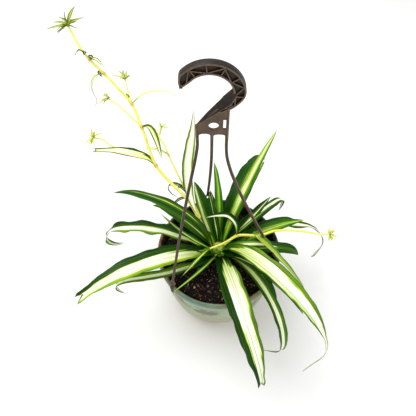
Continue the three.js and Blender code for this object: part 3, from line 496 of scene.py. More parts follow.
def leaf_tissue(name, cream, pale, middle_green, edge_green, lime, yellow):
    """Leaf tissue under a thin waxy cuticle: satin, faintly translucent, veined lengthwise.
    The stripe attribute holds the cream stripe's centre and half width, and how lime the
    green is; the blade attribute ends with the side on which it is painted limer, as painted
    light on that side of the fold."""
    material, add, dress = new_material(name)
    blade, tissue, stripe = (
        add("Attribute", attribute_name=label, out=1) for label in ("blade", "tissue", "stripe"))
    lateral, along, lime_side = add("SeparateXYZ", blade, out=ALL)
    centre, half, lime_share = add("SeparateXYZ", stripe, out=ALL)
    # Veins run lengthwise about 0.6 mm apart, in bands of 2 mm; the stripe's edge wanders over
    # 20 to 40 mm, and splits into streaks towards the root.
    veins, broad_veins, wander, lines = (
        add("TexNoise", add("VectorMath.MULTIPLY", tissue, per_metre), Scale=1.0, Detail=detail)
        for per_metre, detail in (
            ((1700.0, 16.0, 9.0), 2.0), ((520.0, 5.0, 7.0), 1.0), ((60.0, 26.0, 5.0), 2.0),
            ((950.0, 2.0, 13.0), 0.0)))
    # Painted shade: the cream stripe closes towards the root, so each leaf's foot is dark green, as
    # shade among the leaves' feet.
    opened_past_root_shade = add("MapRange", along, 0.0, 0.26, -0.2, 1.0, interpolation_type="SMOOTHSTEP")
    outside = add("-", add("Math.ABSOLUTE", add("-", lateral, centre)), add("*", half, opened_past_root_shade))
    streaked = add("MapRange", along, 0.1, 0.5, 1.1, 0.45)
    for noise, strength in ((wander, 0.3), (broad_veins, streaked), (veins, 0.15)):
        outside = add("*+", add("-", noise, 0.5), strength, outside)
    outside = add("MapRange", outside, -0.3, 0.7)
    green = add("ValToRGB", outside, stops=[
        (0.0, cream), (0.25, cream), (0.28, pale), (0.33, lime), (0.37, middle_green),
        (0.43, edge_green), (1.0, edge_green)])
    all_lime = add("ValToRGB", outside, stops=[
        (0.0, cream), (0.2, pale), (0.32, lime), (0.55, lime), (0.8, middle_green)])
    # Painted light: one side of the blade, named in the blade attribute, is made limer, as light on
    # that side of the fold.
    lime_share = add("Math.MAXIMUM", lime_share, add(
        "MapRange", add("*", lateral, lime_side), 0.1, 0.6, 0.0, 0.85))
    paler = add("*", add("MapRange", broad_veins, 0.5, 0.66, 0.0, 0.55),
                add("MapRange", outside, 0.4, 0.5))
    # Lime lines run the whole length of the cream, and paler lines through the green.
    lines = add("*", add("MapRange", lines, 0.6, 0.68, 0.0, 0.8),
                add("MapRange", outside, 0.36, 0.28, 0.12, 1.0))
    # The cream turns yellow and lime towards the root, in streaks, and the tip is dry.
    young = add("*", add("MapRange", add("*+", broad_veins, -0.7, along), 0.05, -0.25, 0.0, 0.9),
                add("MapRange", outside, 0.36, 0.3))
    streak = add("MapRange", veins, 0.35, 0.65, 0.0, 0.3)
    dry = add("MapRange", along, 0.985, 1.0, 0.0, 0.7)
    colour = green
    for mask, tint, blend in (
            (lime_share, all_lime, "MIX"), (paler, middle_green, "MIX"), (lines, lime, "MIX"),
            (young, yellow, "MIX"), (streak, middle_green, "SOFT_LIGHT"),
            (dry, "#8a7440", "MIX")):
        colour = add("Mix", mask, colour, tint, data_type="RGBA", blend_type=blend)
    dress(Base_Color=colour, Roughness=add("MapRange", wander, 0.3, 0.7, 0.38, 0.55), IOR=1.4,
          Specular_IOR_Level=0.22, Subsurface_Radius=(0.0003, 0.0005, 0.0001),
          Subsurface_Scale=1.0, Subsurface_Weight=0.06,
          Normal=add("Bump", Strength=0.4, Distance=0.0004, Height=add("+", broad_veins, veins)))
    return material


leaf_finish = leaf_tissue("variegated_leaf", "#fefef0", "#eef5a0", "#2f6c0a", "#0a3502", "#9fc62c",
                          "#c4d93c")

# For each leaf: its name, its width in mm, and its stripe, which is the cream stripe's centre
# and half width across the blade, as shares of its half width, and how lime the green is. Then
# azimuth, root height, length in mm, rise and droop, as in the solids, or a route of its own
# past the runner and the rim. Last comes what bends or shapes it, and the side of the blade
# that is painted limer, as painted light on that side of its fold. The leaves after the first
# 23 fill in behind them and have no solid of their own.
LEAVES_WITH_SOLIDS = 23
LEAVES = [
    ("front_left_broad", 28, (-0.2, 0.48, 0.05), (206, 10, 193, 42, 80),
     dict(tip_share=0.5, fold=18, root_share=0.4, taper=2.2, notch=15, lime_side=-0.9)),
    ("left_wavy", 18, (-0.2, 0.36, 0.1), (178, 8, 198, 47, 140),
     dict(bend=1.6, sweep=-6, curl=85, swirl=36, ripple=2.2, ripples=6.0, wander=0.4,
          lime_side=-0.6)),
    ("left_long", 17, (0.4, -0.02, 0.1), (170, 15, 174, 80, 118),
     dict(start=182, sweep=-12, lime_side=-0.7)),
    ("left_torn", 19, (0.15, 0.22, 0.25), (146, 10, 97, 41, 52),
     dict(start=140, sweep=7, tip_share=0.4, notch=7, lime_side=-0.5)),
    ("rear_left_tall", 18, (0.1, 0.6, 0.4),
     [(-6, 10, 119), (-17, 16, 144.5), (-30.5, 28.9, 165.8), (-39.5, 49, 181.5),
      (-41, 74.7, 190.9), (-39.5, 102.5, 193.6), (-36.5, 130, 193.1), (-34.5, 158, 196.5),
      (-34, 166, 206)], dict(root_share=-2.0, widest=0.52)),
    ("rear_white_line", 11, (0, 0.05, 0), (110, 17, 71, 72, 68), dict(start=98, sweep=-10)),
    ("rear_narrow", 11, (0, -0.06, 0.95), (88, 12, 114, 70, 80), dict(sweep=11)),
    ("rear_right_dark", 21, (0.45, 0.15, 0.2), (70, 5, 185, 60, 125),
     dict(sweep=-12, ripple=1.5, wander=0.3, lime_side=0.7)),
    ("rear_right_tall", 13, (-0.15, 0.32, 0.95), (51, 15, 167, 69, 58), dict(sweep=8)),
    ("right_rear_folded", 14, (-0.1, 0.28, 0.1), (31, 9, 137, 42, 94),
     dict(start=34, sweep=19, curl=91)),
    ("right_rear_pleated", 16, (0.1, 0.16, 0.1), (29, 13, 88, 47, 13), dict(start=26, sweep=9)),
    ("right_lime", 19, (0.1, 0.02, 0.85), (16, 5, 110, 34, 47), dict(start=18, lime_side=0.4)),
    ("right_thin", 4, (0, 0.1, 0.8), (20, 17, 83, 48, 18), dict(start=24, sweep=8)),
    ("right_curled", 17, (0.05, 0.36, 0.1),
     [(12.5, 2, 112), (26, 8, 121), (43.7, 18, 130), (62.4, 27, 132.5), (80.5, 34, 130.1),
      (98.2, 38, 121.4), (112.8, 39, 116), (124.8, 38.5, 113.5), (135, 38, 106.6),
      (143, 37, 95.7), (147.8, 34, 84.3), (147.7, 30.5, 73.4), (143.5, 27, 63.6),
      (136, 23, 54.3)],
     dict(ripple=1.2, ripples=5.0, widest=0.5, taper=2, tip_share=0.26, thread=0.34, wander=0.3)),
    ("right_blunt", 17, (0, -0.02, 0.1), (352, 5, 101, 40, 66),
     dict(start=340, sweep=8, curl=30, tip_share=0.2, taper=7, fold=34)),
    ("right_pale_arch", 11, (0.25, 0.4, 0.7), (342, 16, 76, 58, 85), dict(sweep=14)),
    ("front_right_dark", 13, (0, 0.0, 0), (324, 3, 113, 52, 132), dict(sweep=-23)),
    ("right_front_broad", 24, (0.12, 0.62, 0.2), (308, 14, 316, 78, 211),
     dict(bend=0.97, sweep=16, curl=-10, swirl=72, fold=20, root_share=0.15, widest=0.36,
          tip_share=0.19, thread=0.31, lime_side=-0.5)),
    ("front_right_arch", 13, (0.05, 0.36, 0.1), (313, 8, 235, 50, 193),
     dict(bend=1.09, sweep=-31, curl=-10, swirl=55, lime_side=-0.6)),
    ("front_broad", 29, (-0.2, 0.46, 0.0), (279, 9, 202, 43, 124),
     dict(sweep=17, tip_share=0.35, ripple=1, ripples=5.0, wander=0.3, fold=20, root_share=0.42,
          widest=0.4, notch=14, lime_side=-0.3)),
    ("front_left_narrow", 5, (0, 0.1, 0.8), (249, 12, 98, 41, 39), dict(sweep=-29)),
    ("front_left_low", 14, (0.05, 0.36, 0.5), (225, 4, 165, 28, 50),
     dict(bend=1.5, sweep=-54, curl=135)),
    ("front_stub", 9, (0, 0.0, 0.1), (300, 6, 36, 26, 40), dict(tip_share=0.5)),
    ("rear_left_broad", 22, (-0.45, 0.1, 0.4), (114, 13, 84, 42, 14), {}),
    # The next five leaves are dark green with almost no cream, and stand partly for painted shade
    # between the big leaves' feet.
    ("right_front_shaded", 15, (0.2, 0.06, 0.0), (314, 7, 150, 58, 118), dict(sweep=4)),
    ("rear_shaded", 17, (0.3, 0.04, 0.0), (100, 8, 70, 50, 20), {}),
    ("rear_right_shaded", 16, (0.3, 0.04, 0.0), (62, 8, 64, 46, 20), {}),
    ("front_dark", 14, (0, 0.0, 0.0), (290, 4, 58, 24, 30), dict(tip_share=0.5)),
    ("left_dark", 13, (0.1, 0.02, 0.0), (160, 5, 66, 38, 44), {}),
    ("rear_right_torn", 14, (0.3, 0.1, 0.3),
     [(5.9, 11, 115.6), (15.8, 26, 143.8), (26.9, 42, 163.8), (38.2, 58, 178.6),
      (48.2, 72, 189.5), (55.5, 83, 200)], dict(root_share=0.3, tip_share=0.5, notch=6)),
]
BENDS = {"start", "bend", "sweep", "curl", "swirl"}


def growth(azimuth, root, length, rise, droop, start=None, bend=1.3, sweep=0, curl=0, swirl=0):
    """The midrib: it climbs at `rise` degrees, droops by `droop` along its length, the later
    the larger `bend` is, and turns by `sweep`; `curl` and `swirl` do the same to its last third
    only. `start` is the azimuth of its foot, where that isn't the leaf's own."""
    dome = CROWN_RADIUS * math.sqrt(1 - (root / CROWN_HEIGHT) ** 2) + 1
    foot = math.radians(azimuth if start is None else start)
    point = Vector((dome * math.cos(foot), dome * math.sin(foot), SOIL_TOP + root))
    steps = max(8, round(length / LEAF_STEP))
    row = [point.copy()]
    for part in ((i + 0.5) / steps for i in range(steps)):
        late = max(0, (part - 0.65) / 0.35) ** 1.5
        pitch = math.radians(rise - droop * part ** bend - curl * late)
        heading = math.radians(azimuth + sweep * part + swirl * late)
        point += length / steps * Vector((
            math.cos(pitch) * math.cos(heading), math.cos(pitch) * math.sin(heading),
            math.sin(pitch)))
        row.append(point.copy())
    inward = (row[0] - row[1]).normalized()
    return [row[0] + inward * ROOT_SINK, *row]


def polyline(name, rows):
    """Rows of points in millimetres as one mesh of open chains."""
    edges, first = [], 0
    for row in rows:
        edges += [(i, i + 1) for i in range(first, first + len(row) - 1)]
        first += len(row)
    mesh = bpy.data.meshes.new(name)
    mesh.from_pydata([p * MM for row in rows for p in row], edges, [])
    return mesh


def face_outwards(piece):
    """Turns a closed mesh the right way out if its faces point inwards."""
    mesh = piece.data
    volume = 0.0
    for face in mesh.polygons:
        corners = [mesh.vertices[i].co for i in face.vertices]
        for b, c in zip(corners[1:], corners[2:]):
            volume += corners[0].dot(b.cross(c))
    if volume < 0:
        mesh.flip_normals()


def grow(name, rows, material, slot, node, width, fold=24, ripple=0, notch=0, **sizes):
    """A piece of one or more blades along rows of points, which stands for a node if it has
    one. Width, ripple and notch are in millimetres and the fold is in degrees."""
    piece = run_tree(name, polyline(name, rows), blade_tree, material=material, width=width * MM,
                     fold=math.radians(fold), ripple=ripple * MM, notch=notch * MM, **sizes)
    face_outwards(piece)
    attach(piece, "root")
    if node:
        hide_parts(node)


for seed, (name, width, stripe, rule, shape) in enumerate(LEAVES):
    bends = {key: shape.pop(key) for key in BENDS & shape.keys()}
    row = through(rule, LEAF_STEP) if isinstance(rule, list) else growth(*rule, **bends)
    node = "leaf_" + name if seed < LEAVES_WITH_SOLIDS else None
    grow(name + "_leaf", [row], leaf_finish, "leaf", node, width, stripe=stripe,
         seed=float(seed), **shape)

# Short young leaves stand up in the middle and hide the crown between the big ones' feet.
random.seed(5)
for name, count, longest, width, roots, rises, stripe in [
        ("inner_dark_leaves", 8, 46, 13, (6, 16), (40, 66), (0.2, -0.35, 0.0)),
        ("inner_pale_leaves", 4, 34, 9, (6, 16), (40, 66), (0.0, 0.1, 0.4)),
        ("crown_sheaths", 9, 21, 9, (12, 18), (58, 76), (0.0, -0.15, 1.0))]:
    rows = [growth(azimuth=360 * (i + random.random() * 0.7) / count, root=random.uniform(*roots),
                   length=random.uniform(0.6, 1) * longest, rise=random.uniform(*rises),
                   droop=random.uniform(20, 60)) for i in range(count)]
    grow(name, rows, leaf_finish, "leaf", None, width, fold=30, root_share=0.6, tip_share=0.04,
         stripe=stripe, seed=80.0 + count)

# ------------------------------------------------------------------ crown
# The short stem that all the leaves clasp: a dome of overlapping pale leaf bases, moist and
# firm, which shows only in the gaps between the leaves.

CROWN_SIDES = 60
CROWN_FOOT = SOIL_TOP - 22

crown_dome = [(CROWN_RADIUS * math.cos(a), SOIL_TOP + CROWN_HEIGHT * math.sin(a))
              for a in (math.radians(degrees) for degrees in range(0, 90, 6))]
crown = turned("leaf_crown", [
    (0, CROWN_FOOT), (10, CROWN_FOOT), (CROWN_RADIUS, SOIL_TOP - 4), *crown_dome,
    (0, SOIL_TOP + CROWN_HEIGHT)], CROWN_SIDES)
for vertex in crown.data.vertices:
    turn = math.atan2(vertex.co.y, vertex.co.x)
    ridge = 0.93 + 0.06 * abs(math.sin(4.5 * turn + 40 * vertex.co.z))
    vertex.co.x *= ridge
    vertex.co.y *= ridge

# Smooth moist skin, in upright green and cream streaks about 4 mm wide.
bases, add, dress = new_material("leaf_bases")
streaks = add("TexNoise", add("Mapping", add("TexCoord", out=3), Scale=(1, 1, 0.1)),
              Scale=240.0, Detail=2.0)
dress(Base_Color=add("ValToRGB", streaks, stops=[
    (0.3, "#2c560f"), (0.44, "#7ca02c"), (0.56, "#bccd55"), (0.7, "#e3e596")]), IOR=1.45,
    Roughness=0.5, Normal=add("Bump", Strength=0.4, Distance=0.0005, Height=streaks))
crown.data.materials.append(bases)
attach(crown, "root")
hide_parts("crown")

# ------------------------------------------------------------------ runner stems
# Wiry flowering stems, bright yellow and round, thinner towards the end, with swollen orange
# joints where bracts and side shoots leave. They are living stalks with a smooth skin.

TALL_RUNNER = [
    (-8.6, 3.6, 124), (-20, 16, 143), (-33, 34, 166), (-45, 43, 180), (-60, 52, 193),
    (-78, 65, 211), (-84, 75, 225), (-93, 94, 247), (-104, 113, 266), (-118, 121, 282),
    (-133, 130, 296), (-148, 138, 309), (-158, 147, 319), (-169.5, 162, 334),
]
TALL_SHOOTS = [
    [(-78, 65, 211), (-84, 75, 210), (-112, 88, 211), (-134, 92, 216), (-144, 96, 223),
     (-152, 95, 227)],
    [(-93, 94, 247), (-114, 112, 256), (-125, 122, 258), (-132, 126.5, 260)],
    [(-104, 113, 266), (-108, 125, 272), (-112, 138, 278.5)],
]
PALE_RUNNER = [
    (-7.6, 10, 115), (-20, 26, 138), (-33, 43, 163), (-43, 54, 177), (-54, 68, 197),
    (-63, 81, 212), (-68, 89, 221), (-74, 96, 229), (-72, 103, 234),
]
RIGHT_RUNNER = [
    (7.5, 2, 127.5), (23, 4, 146), (51, 1, 152), (71, 6, 155), (101, 6, 154), (126, 5, 148),
    (139, 8, 143.5),
]
RIGHT_SHOOT = [(23, 4, 146), (3, -12, 153), (-12, -20, 155.6)]
JOINT_REACH = 2.4                # mm along the stem
JOINT_SWELLING = 0.4

stem_tree, add, given = new_tree("stem", around=12, material=None)
thick = add("InputNamedAttribute", "thick")
tube = add("CurveToMesh", add("SetCurveRadius", add("MeshToCurve", given.geometry), None, thick),
           add("CurvePrimitiveCircle", Resolution=given.around, Radius=1.0), thick,
           Fill_Caps=True)
end_tree(add, add("SetShadeSmooth", tube), given.material)

# Smooth skin over wet fibre: satin, in cloudy yellows, and orange at the joints.
stalk, add, dress = new_material("yellow_stalk")
object_place = add("TexCoord", out=3)
blush = add("TexNoise", object_place, Scale=120.0, Detail=3.0)
fibres = add("TexNoise", object_place, Scale=700.0, Detail=2.0)
skin_colour = add("ValToRGB", blush, stops=[(0.3, "#f4ee3c"), (0.55, "#fbf67c"), (0.75, "#e6e648")])
near_joint = add("*", add("Attribute", attribute_name="joint", out=2),
                 add("MapRange", fibres, 0.3, 0.7, 0.6, 1.0))
dress(Base_Color=add("Mix", near_joint, skin_colour, "#dd9f30", data_type="RGBA"), IOR=1.45,
      Roughness=0.42, Normal=add("Bump", Strength=0.2, Distance=0.0003, Height=fibres))


def stalks(name, node, rows):
    """Stems as one piece. Each row is (route, radius at its start, at its end, joints)."""
    lines, thick, joints = [], [], []
    for route, start, end, knuckles in rows:
        line = through(route, 2.2)
        for i, point in enumerate(line):
            near = [math.exp(-((point - Vector(route[k])).length / JOINT_REACH) ** 2)
                    for k in knuckles]
            swelling = max(near, default=0)
            radius = (start + (end - start) * i / (len(line) - 1)) * MM
            thick.append(radius * (1 + JOINT_SWELLING * swelling))
            joints.append(swelling)
        lines.append(line)
    mesh = polyline(name, lines)
    for label, values in (("thick", thick), ("joint", joints)):
        mesh.attributes.new(label, "FLOAT", "POINT").data.foreach_set("value", values)
    piece = run_tree(name, mesh, stem_tree, material=stalk)
    face_outwards(piece)
    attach(piece, "root")
    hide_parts(node)


stalks("tall_runner", "tall_runner_stem", [
    (TALL_RUNNER, 2.3, 1.2, [0, 5, 7, 8, 10, 11]),
    *[(shoot, 1.1, 0.8, [0]) for shoot in TALL_SHOOTS]])
stalks("pale_runner", "pale_runner_stem", [(PALE_RUNNER, 1.6, 0.9, [5])])
stalks("right_runner", "right_runner_stem", [
    (RIGHT_RUNNER, 1.9, 1.0, [1, 2]), (RIGHT_SHOOT, 1.5, 1.1, [])])

# ------------------------------------------------------------------ bracts
# Narrow leaves that grow at the runners' joints, thin and nearly white inside green edges.
# The bigger ones are folded like the large leaves; the finest are threads.

bract_finish = leaf_tissue("pale_bract", "#fcfbda", "#f0f194", "#5f8f18", "#1b4508", "#c3d83a",
                           "#eef06a")

# name, width in mm, stripe as for the leaves, route in mm
BRACTS = [
    ("bract_tall_runner_broad", 13, (0.0, 0.6, 0.0),
     [(-78, 65, 211), (-88, 71, 216), (-104, 74, 221), (-126, 80, 221), (-157, 88, 212)]),
    ("bract_tall_runner_inner", 8, (0.1, 0.4, 0.2),
     [(-93, 94, 247), (-83, 89, 251), (-75, 76, 246), (-68, 57, 232)]),
    ("bract_tall_runner_fine", 3.4, (0, 0.6, 0.9),
     [(-104, 113, 266), (-90, 117, 276), (-74, 117, 282), (-59, 119, 278), (-50, 121, 270)]),
    ("bract_tall_runner_hooked", 3.4, (0, 0.4, 0.6),
     [(-133, 130, 296), (-142, 124, 297), (-147, 118, 289), (-147, 117, 279), (-145, 116, 269),
      (-149, 114, 260)]),
    ("bract_tall_runner_upper", 5, (0, 0.45, 0.5),
     [(-148, 138, 309), (-140, 135, 312), (-131, 128, 307)]),
    ("bract_right_runner", 17, (0.1, 0.16, 0.85),
     [(51, 1, 152), (47, -9, 167), (44.2, -17, 176.5), (48, -24.8, 180.3), (54.8, -27.8, 174.8),
      (62.5, -29.3, 165), (71, -31.3, 154), (80.5, -35, 142), (90.5, -42, 132),
      (101, -53, 124), (106, -62, 118)]),
    ("bract_right_runner_curl", 9, (-0.35, 0.3, 0.05),
     [(23, 4, 146), (21, 14, 160), (11, 21, 167), (-2, 23, 165), (-17, 25, 156)]),
    ("bract_right_shoot_left", 6, (0, 0.15, 0.5),
     [(-12, -20, 155.6), (-29, -14, 163), (-49, 0, 166), (-73, 25, 163)]),
    ("bract_right_shoot_front", 5, (0, 0.12, 0.6),
     [(-12, -20, 155.6), (-21, -29, 156), (-29, -36, 152), (-45, -49, 140)]),
    ("bract_pale_runner_curl", 6.5, (0, 0.05, 0.1),
     [(-43, 54, 177), (-52, 57, 182), (-61, 60, 179), (-65, 60, 172), (-61, 55, 167),
      (-54, 52, 164)]),
    ("bract_pale_runner", 4, (0, 0.5, 0.9),
     [(-63, 81, 212), (-71, 82, 217), (-84, 86, 218), (-98, 89, 212)]),
]
BLUNT_BRACT = "bract_tall_runner_broad"
GREEN_BRACTS = {"bract_right_runner_curl", "bract_right_shoot_left", "bract_pale_runner_curl"}
for seed, (name, width, stripe, route) in enumerate(BRACTS):
    finish = leaf_finish if name in GREEN_BRACTS else bract_finish
    tip_share, notch = (0.5, 5) if name == BLUNT_BRACT else (0.05, 0)
    grow(name + "_leaf", [through(route, 2.5)], finish, "bract", name, width, fold=30,
         notch=notch, tip_share=tip_share, root_share=0.4, widest=0.35, taper=1.5,
         thickness=0.0005, stripe=stripe, seed=seed + 30.0, around=20)

# Small leaflets, curls and pale forks at the joints, too fine for solids of their own.
# name, width in mm, material, stripe, routes in mm
JOINT_LEAFLETS = [
    ("tall_runner_dark_leaflets", 5.4, leaf_finish, (0, 0.1, 0.1), [
        [(-149.5, 139, 312.5), (-146, 138, 313), (-142.5, 137, 309)],
        [(-153, 140, 314), (-151.5, 138, 317), (-152.5, 139, 321)],
        [(-154.5, 141, 317), (-157, 138, 321.5), (-160, 137, 320), (-162.5, 136, 316.5)],
        [(-137, 132, 299), (-140.5, 138, 290), (-138.5, 137, 285.5)],
        [(-104, 113, 264), (-108, 119, 270), (-110, 122, 275)]]),
    ("pale_runner_forks", 1.6, bract_finish, (0, 0.7, 0.9), [
        [(-74, 96, 228), (-70, 102, 236), (-64, 108, 241)],
        [(-74, 96, 228), (-78, 101, 236), (-80, 105, 241)],
        [(-74, 96, 228), (-72, 104, 240), (-74, 110, 250)]]),
    ("runner_foot_curls", 4.4, leaf_finish, (0, 0.1, 0.1), [
        [(-33, 43, 163), (-44, 44, 172), (-53, 41, 170), (-58, 36, 160), (-54, 31, 150)],
        [(-33, 43, 163), (-41, 50, 176), (-50, 53, 183), (-57, 51, 181)]]),
]
for seed, (name, width, finish, stripe, routes) in enumerate(JOINT_LEAFLETS):
    grow(name, [through(route, 1.5) for route in routes], finish, "bract", None, width, fold=28,
         root_share=0.4, widest=0.4, taper=1.4, tip_share=0.08, thickness=0.0005, stripe=stripe,
         seed=seed + 45.0, around=16)

# ------------------------------------------------------------------ plantlets
# Tufts of young leaves round a bud at the ends of the stems, olive and yellow. Each leaf
# leaves the bud a golden angle further round, and the later ones stand wider.

GOLDEN_ANGLE = math.radians(137.5)
BUD = 1.9

plantlet_finish = leaf_tissue("young_leaf", "#f8f49c", "#e6e65a", "#8fa428", "#55701a", "#c6d23a",
                              "#efe95a")


def shares(count):
    """Even steps from 0 to 1, with both ends."""
    return [i / count for i in range(count + 1)]


def tuft(name, stem, count, length, width, lift=0.0, spread=75, stripe=(0, 0.3, 0.5), curl=0.22,
         tails=0):
    """A tuft just past the end of a stem, as one piece of young leaves and their bud; the
    first `tails` leaves are longer and droop more."""
    before, end = Vector(stem[-2]), Vector(stem[-1])
    along = (end - before).normalized()
    middle = end + along * BUD
    along = (along + Vector((0, 0, lift))).normalized()
    sideways = Vector((0, 0, 1)).cross(along).normalized()
    above = along.cross(sideways)
    rows = []
    for i in range(count):
        turn = GOLDEN_ANGLE * i + 0.5 * math.sin(7 * i)
        tilt = math.radians(spread * (0.35 + 0.65 * i / (count - 1)))
        radial = sideways * math.cos(turn) + above * math.sin(turn)
        tangent = above * math.cos(turn) - sideways * math.sin(turn)
        reach = length * (0.55 + 0.45 * ((i * 0.618) % 1)) * (1.45 if i < tails else 1)
        bow = curl * (1.6 if i < tails else 1)
        rows.append([
            middle + along * (0.8 + reach * math.cos(tilt) * part * (1 - 0.35 * part))
            + radial * (0.5 + reach * math.sin(tilt) * part)
            + tangent * reach * 0.25 * math.sin(5 * i) * part * part
            + Vector((0, 0, -bow * reach * part * part))
            for part in shares(12)])
    rows.append([middle + along * BUD * k / 3 for k in range(-3, 5)])
    grow(name + "_leaves", rows, plantlet_finish, "plantlet", name, width, fold=30,
         root_share=0.5, widest=0.35, taper=1.5, tip_share=0.05, stripe=stripe,
         seed=60.0 + count, around=16)


tuft("plantlet_tall_runner_tip", TALL_RUNNER, 14, 25, 4.4, spread=100, stripe=(0, 0.1, 0.4),
     curl=0.1, tails=2)
tuft("plantlet_tall_runner_low", TALL_SHOOTS[0], 12, 15, 2.6, lift=0.5, spread=95,
     stripe=(0, 0.5, 0.8), tails=4)
tuft("plantlet_tall_runner_middle", TALL_SHOOTS[1], 9, 17, 2.4, spread=62, stripe=(0, 0.4, 0.6),
     curl=0.3, tails=1)
tuft("plantlet_tall_runner_high", TALL_SHOOTS[2], 9, 20, 2.6, spread=48, stripe=(0, 0.4, 0.6),
     curl=0.12)
tuft("plantlet_pale_runner_tip", PALE_RUNNER, 6, 13, 2.4, stripe=(0, 0.7, 0.9))
tuft("plantlet_right_runner_tip", RIGHT_RUNNER, 14, 11, 2.6, spread=95, stripe=(0, 0.5, 0.9),
     tails=2)

# ------------------------------------------------------------------ hanger
# One dark brown polypropylene moulding, stiffened as such hooks are by flanges and zig-zag
# ribs on a thin web, over a flat plate. Three square strands bow out from it and end in
# diamond loops, whose tongues clip over the pot's rim. Its edges have worn paler.

HOOK_CENTRE = (-12.9, 381.3)     # x and z; all of the hook's sizes are in millimetres
HOOK_OUTER = 29.8
HOOK_INNER = 20.8
HOOK_WIDTH = 7.2
FLANGE = 1.7
WEB = 2.2
RIB = 1.2
RIB_WIDTH = 6.2
PLATE = 3
BEAD = 1.6
PLATE_LEFT, PLATE_RIGHT, PLATE_BOTTOM = -25.5, 4.8, 327
STRAND = 3.0
STRAND_ROOT = 3.1                # width of a strand where it leaves the plate
REAR_STRAND = -12                # x of the rear strand's left side


def on_hook(angle, radius):
    """The x and z of a place on the hook, from degrees round its centre."""
    angle = math.radians(angle)
    return HOOK_CENTRE[0] + radius * math.cos(angle), HOOK_CENTRE[1] + radius * math.sin(angle)


def hook_arc(radius, first, last, steps):
    """Corners along the hook's round part."""
    return [on_hook(first + (last - first) * i / steps, radius) for i in range(steps + 1)]


OUTER_EDGE = [(-36.4, 389), (-37.2, 395), *hook_arc(HOOK_OUTER, 141, 6, 18), (16.3, 379.8),
              (14.6, 375.9), (11.6, 371.8), (7.8, 368), (PLATE_RIGHT, 365.5)]
INNER_EDGE = [(-35.6, 389), (-27.8, 395.6), *hook_arc(HOOK_INNER, 133, 4, 14)]
NECK_FOOT = (-3.4, 361.4)
# The gusset's top face twists: x, height at the back, at the front, half its width.
GUSSET = [(7.9, 384.3, 379, 3.6), (4.2, 379.9, 371.4, 3.6), (-1, 373.8, 365.8, 3.4),
          (-4.1, 370.2, 363, 3.2), (-10.2, 362.7, 357.6, 2.8), (-18.2, 352.7, 351, 2.2),
          (PLATE_LEFT, 342.3, 344.4, 1.5)]
ZIGZAG = [150, 125, 95, 65, 35, 14]          # degrees round the hook, as the posts' are
POSTS = [123, 95, 64, 34]
NECK_RIBS = [(14.9, 387.6, 8.6, 379.8), (8, 378.9, 16, 378.4), (8.9, 377, 8.6, 370.4),
             (6.4, 370.6, -2.4, 364.2), (9, 370, 3.4, 366.2), (3.4, 366.2, -0.6, 365.6)]
BAR_SIDES = 16

# A moulded bar: a rounded rectangle swept along points that carry its width, thickness and
# the way its flat side faces. The two narrow sides are marked as worn.
bar_tree, add, given = new_tree("moulded_bar", edge_radius=0.0004, around=BAR_SIDES, material=None)
bar_width, bar_thick = (add("InputNamedAttribute", label) for label in ("wide", "thick"))
facing = add("InputNamedAttribute", "facing", data_type="FLOAT_VECTOR")
line, middle, forward = add(
    "CaptureAttribute", add("MeshToCurve", given.geometry), add("InputPosition"),
    add("InputTangent"), kept=[("middle", "VECTOR"), ("forward", "VECTOR")], out=slice(3))
ring = add("Transform", add("CurvePrimitiveCircle", Resolution=given.around, Radius=1.0),
           Rotation=(0, 0, math.pi / BAR_SIDES))
ring, round_place = add("CaptureAttribute", ring, add("InputPosition"),
                        kept=[("round_place", "VECTOR")], out=slice(2))
side = add("VectorMath.NORMALIZE", add("VectorMath.CROSS_PRODUCT", forward, facing))
upward = add("VectorMath.CROSS_PRODUCT", side, forward)
share_across, share_through, _ = add("SeparateXYZ", round_place, out=ALL)
place_now = middle
for way, share, size in ((side, share_across, bar_width), (upward, share_through, bar_thick)):
    # A place on the circle moves out to the rounded side of the rectangle.
    flat = add("*", add("Math.SIGN", share), add("-", add("*", size, 0.5), given.edge_radius))
    squared = add("+", flat, add("*", share, given.edge_radius))
    place_now = add("VectorMath.ADD", place_now, add("VectorMath.SCALE", way, Scale=squared))
bar = add("SetPosition", add("CurveToMesh", line, ring, Fill_Caps=True), Position=place_now)
bar = add("StoreNamedAttribute", bar, None, "worn", add("Math.ABSOLUTE", share_across),
          data_type="FLOAT", domain="POINT")
end_tree(add, bar, given.material)


def polypropylene(name, dark, brown, worn_colour):
    """Moulded polypropylene: satin, finely pebbled, cloudy, paler on its worn edges."""
    material, add, dress = new_material(name)
    object_place = add("TexCoord", out=3)
    cloudy = add("TexNoise", object_place, Scale=70.0, Detail=4.0, Roughness=0.6)
    pebble = add("TexNoise", object_place, Scale=1300.0, Detail=2.0)
    scuffs = add("TexNoise", add("Mapping", object_place, Scale=(1, 1, 0.3)), Scale=420.0,
                 Detail=4.0)
    worn = add("Attribute", attribute_name="worn", out=2)
    worn = add("*", add("MapRange", worn, 0.55, 0.95),
               add("MapRange", scuffs, 0.3, 0.62, 0.45, 1.0))
    colour = add("ValToRGB", cloudy, stops=[(0.35, dark), (0.65, brown)])
    for mask in (worn, add("MapRange", scuffs, 0.6, 0.75, 0.0, 0.35)):
        colour = add("Mix", mask, colour, worn_colour, data_type="RGBA")
    dress(Base_Color=colour, Roughness=add("MapRange", cloudy, 0.3, 0.7, 0.4, 0.55), IOR=1.49,
          Specular_IOR_Level=0.3, Normal=add(
              "Bump", Strength=0.2, Distance=0.0002, Height=pebble))
    return material


bar_plastic = polypropylene("dark_brown_polypropylene", "#1d1712", "#30271f", "#75604c")
web_plastic = polypropylene("shaded_polypropylene", "#241a12", "#34281e", "#4c3d30")
plate_plastic = polypropylene("brown_polypropylene", "#4a3a2d", "#66513f", "#86705a")
strand_plastic = polypropylene("rubbed_brown_polypropylene", "#3d2f24", "#544232", "#77614d")


def ways(points):
    """The way that a path takes at each of its points, from the one before to the one after."""
    befores, afters = [points[0], *points], [*points[1:], points[-1]]
    return [after - before for before, after in zip(befores, afters)]


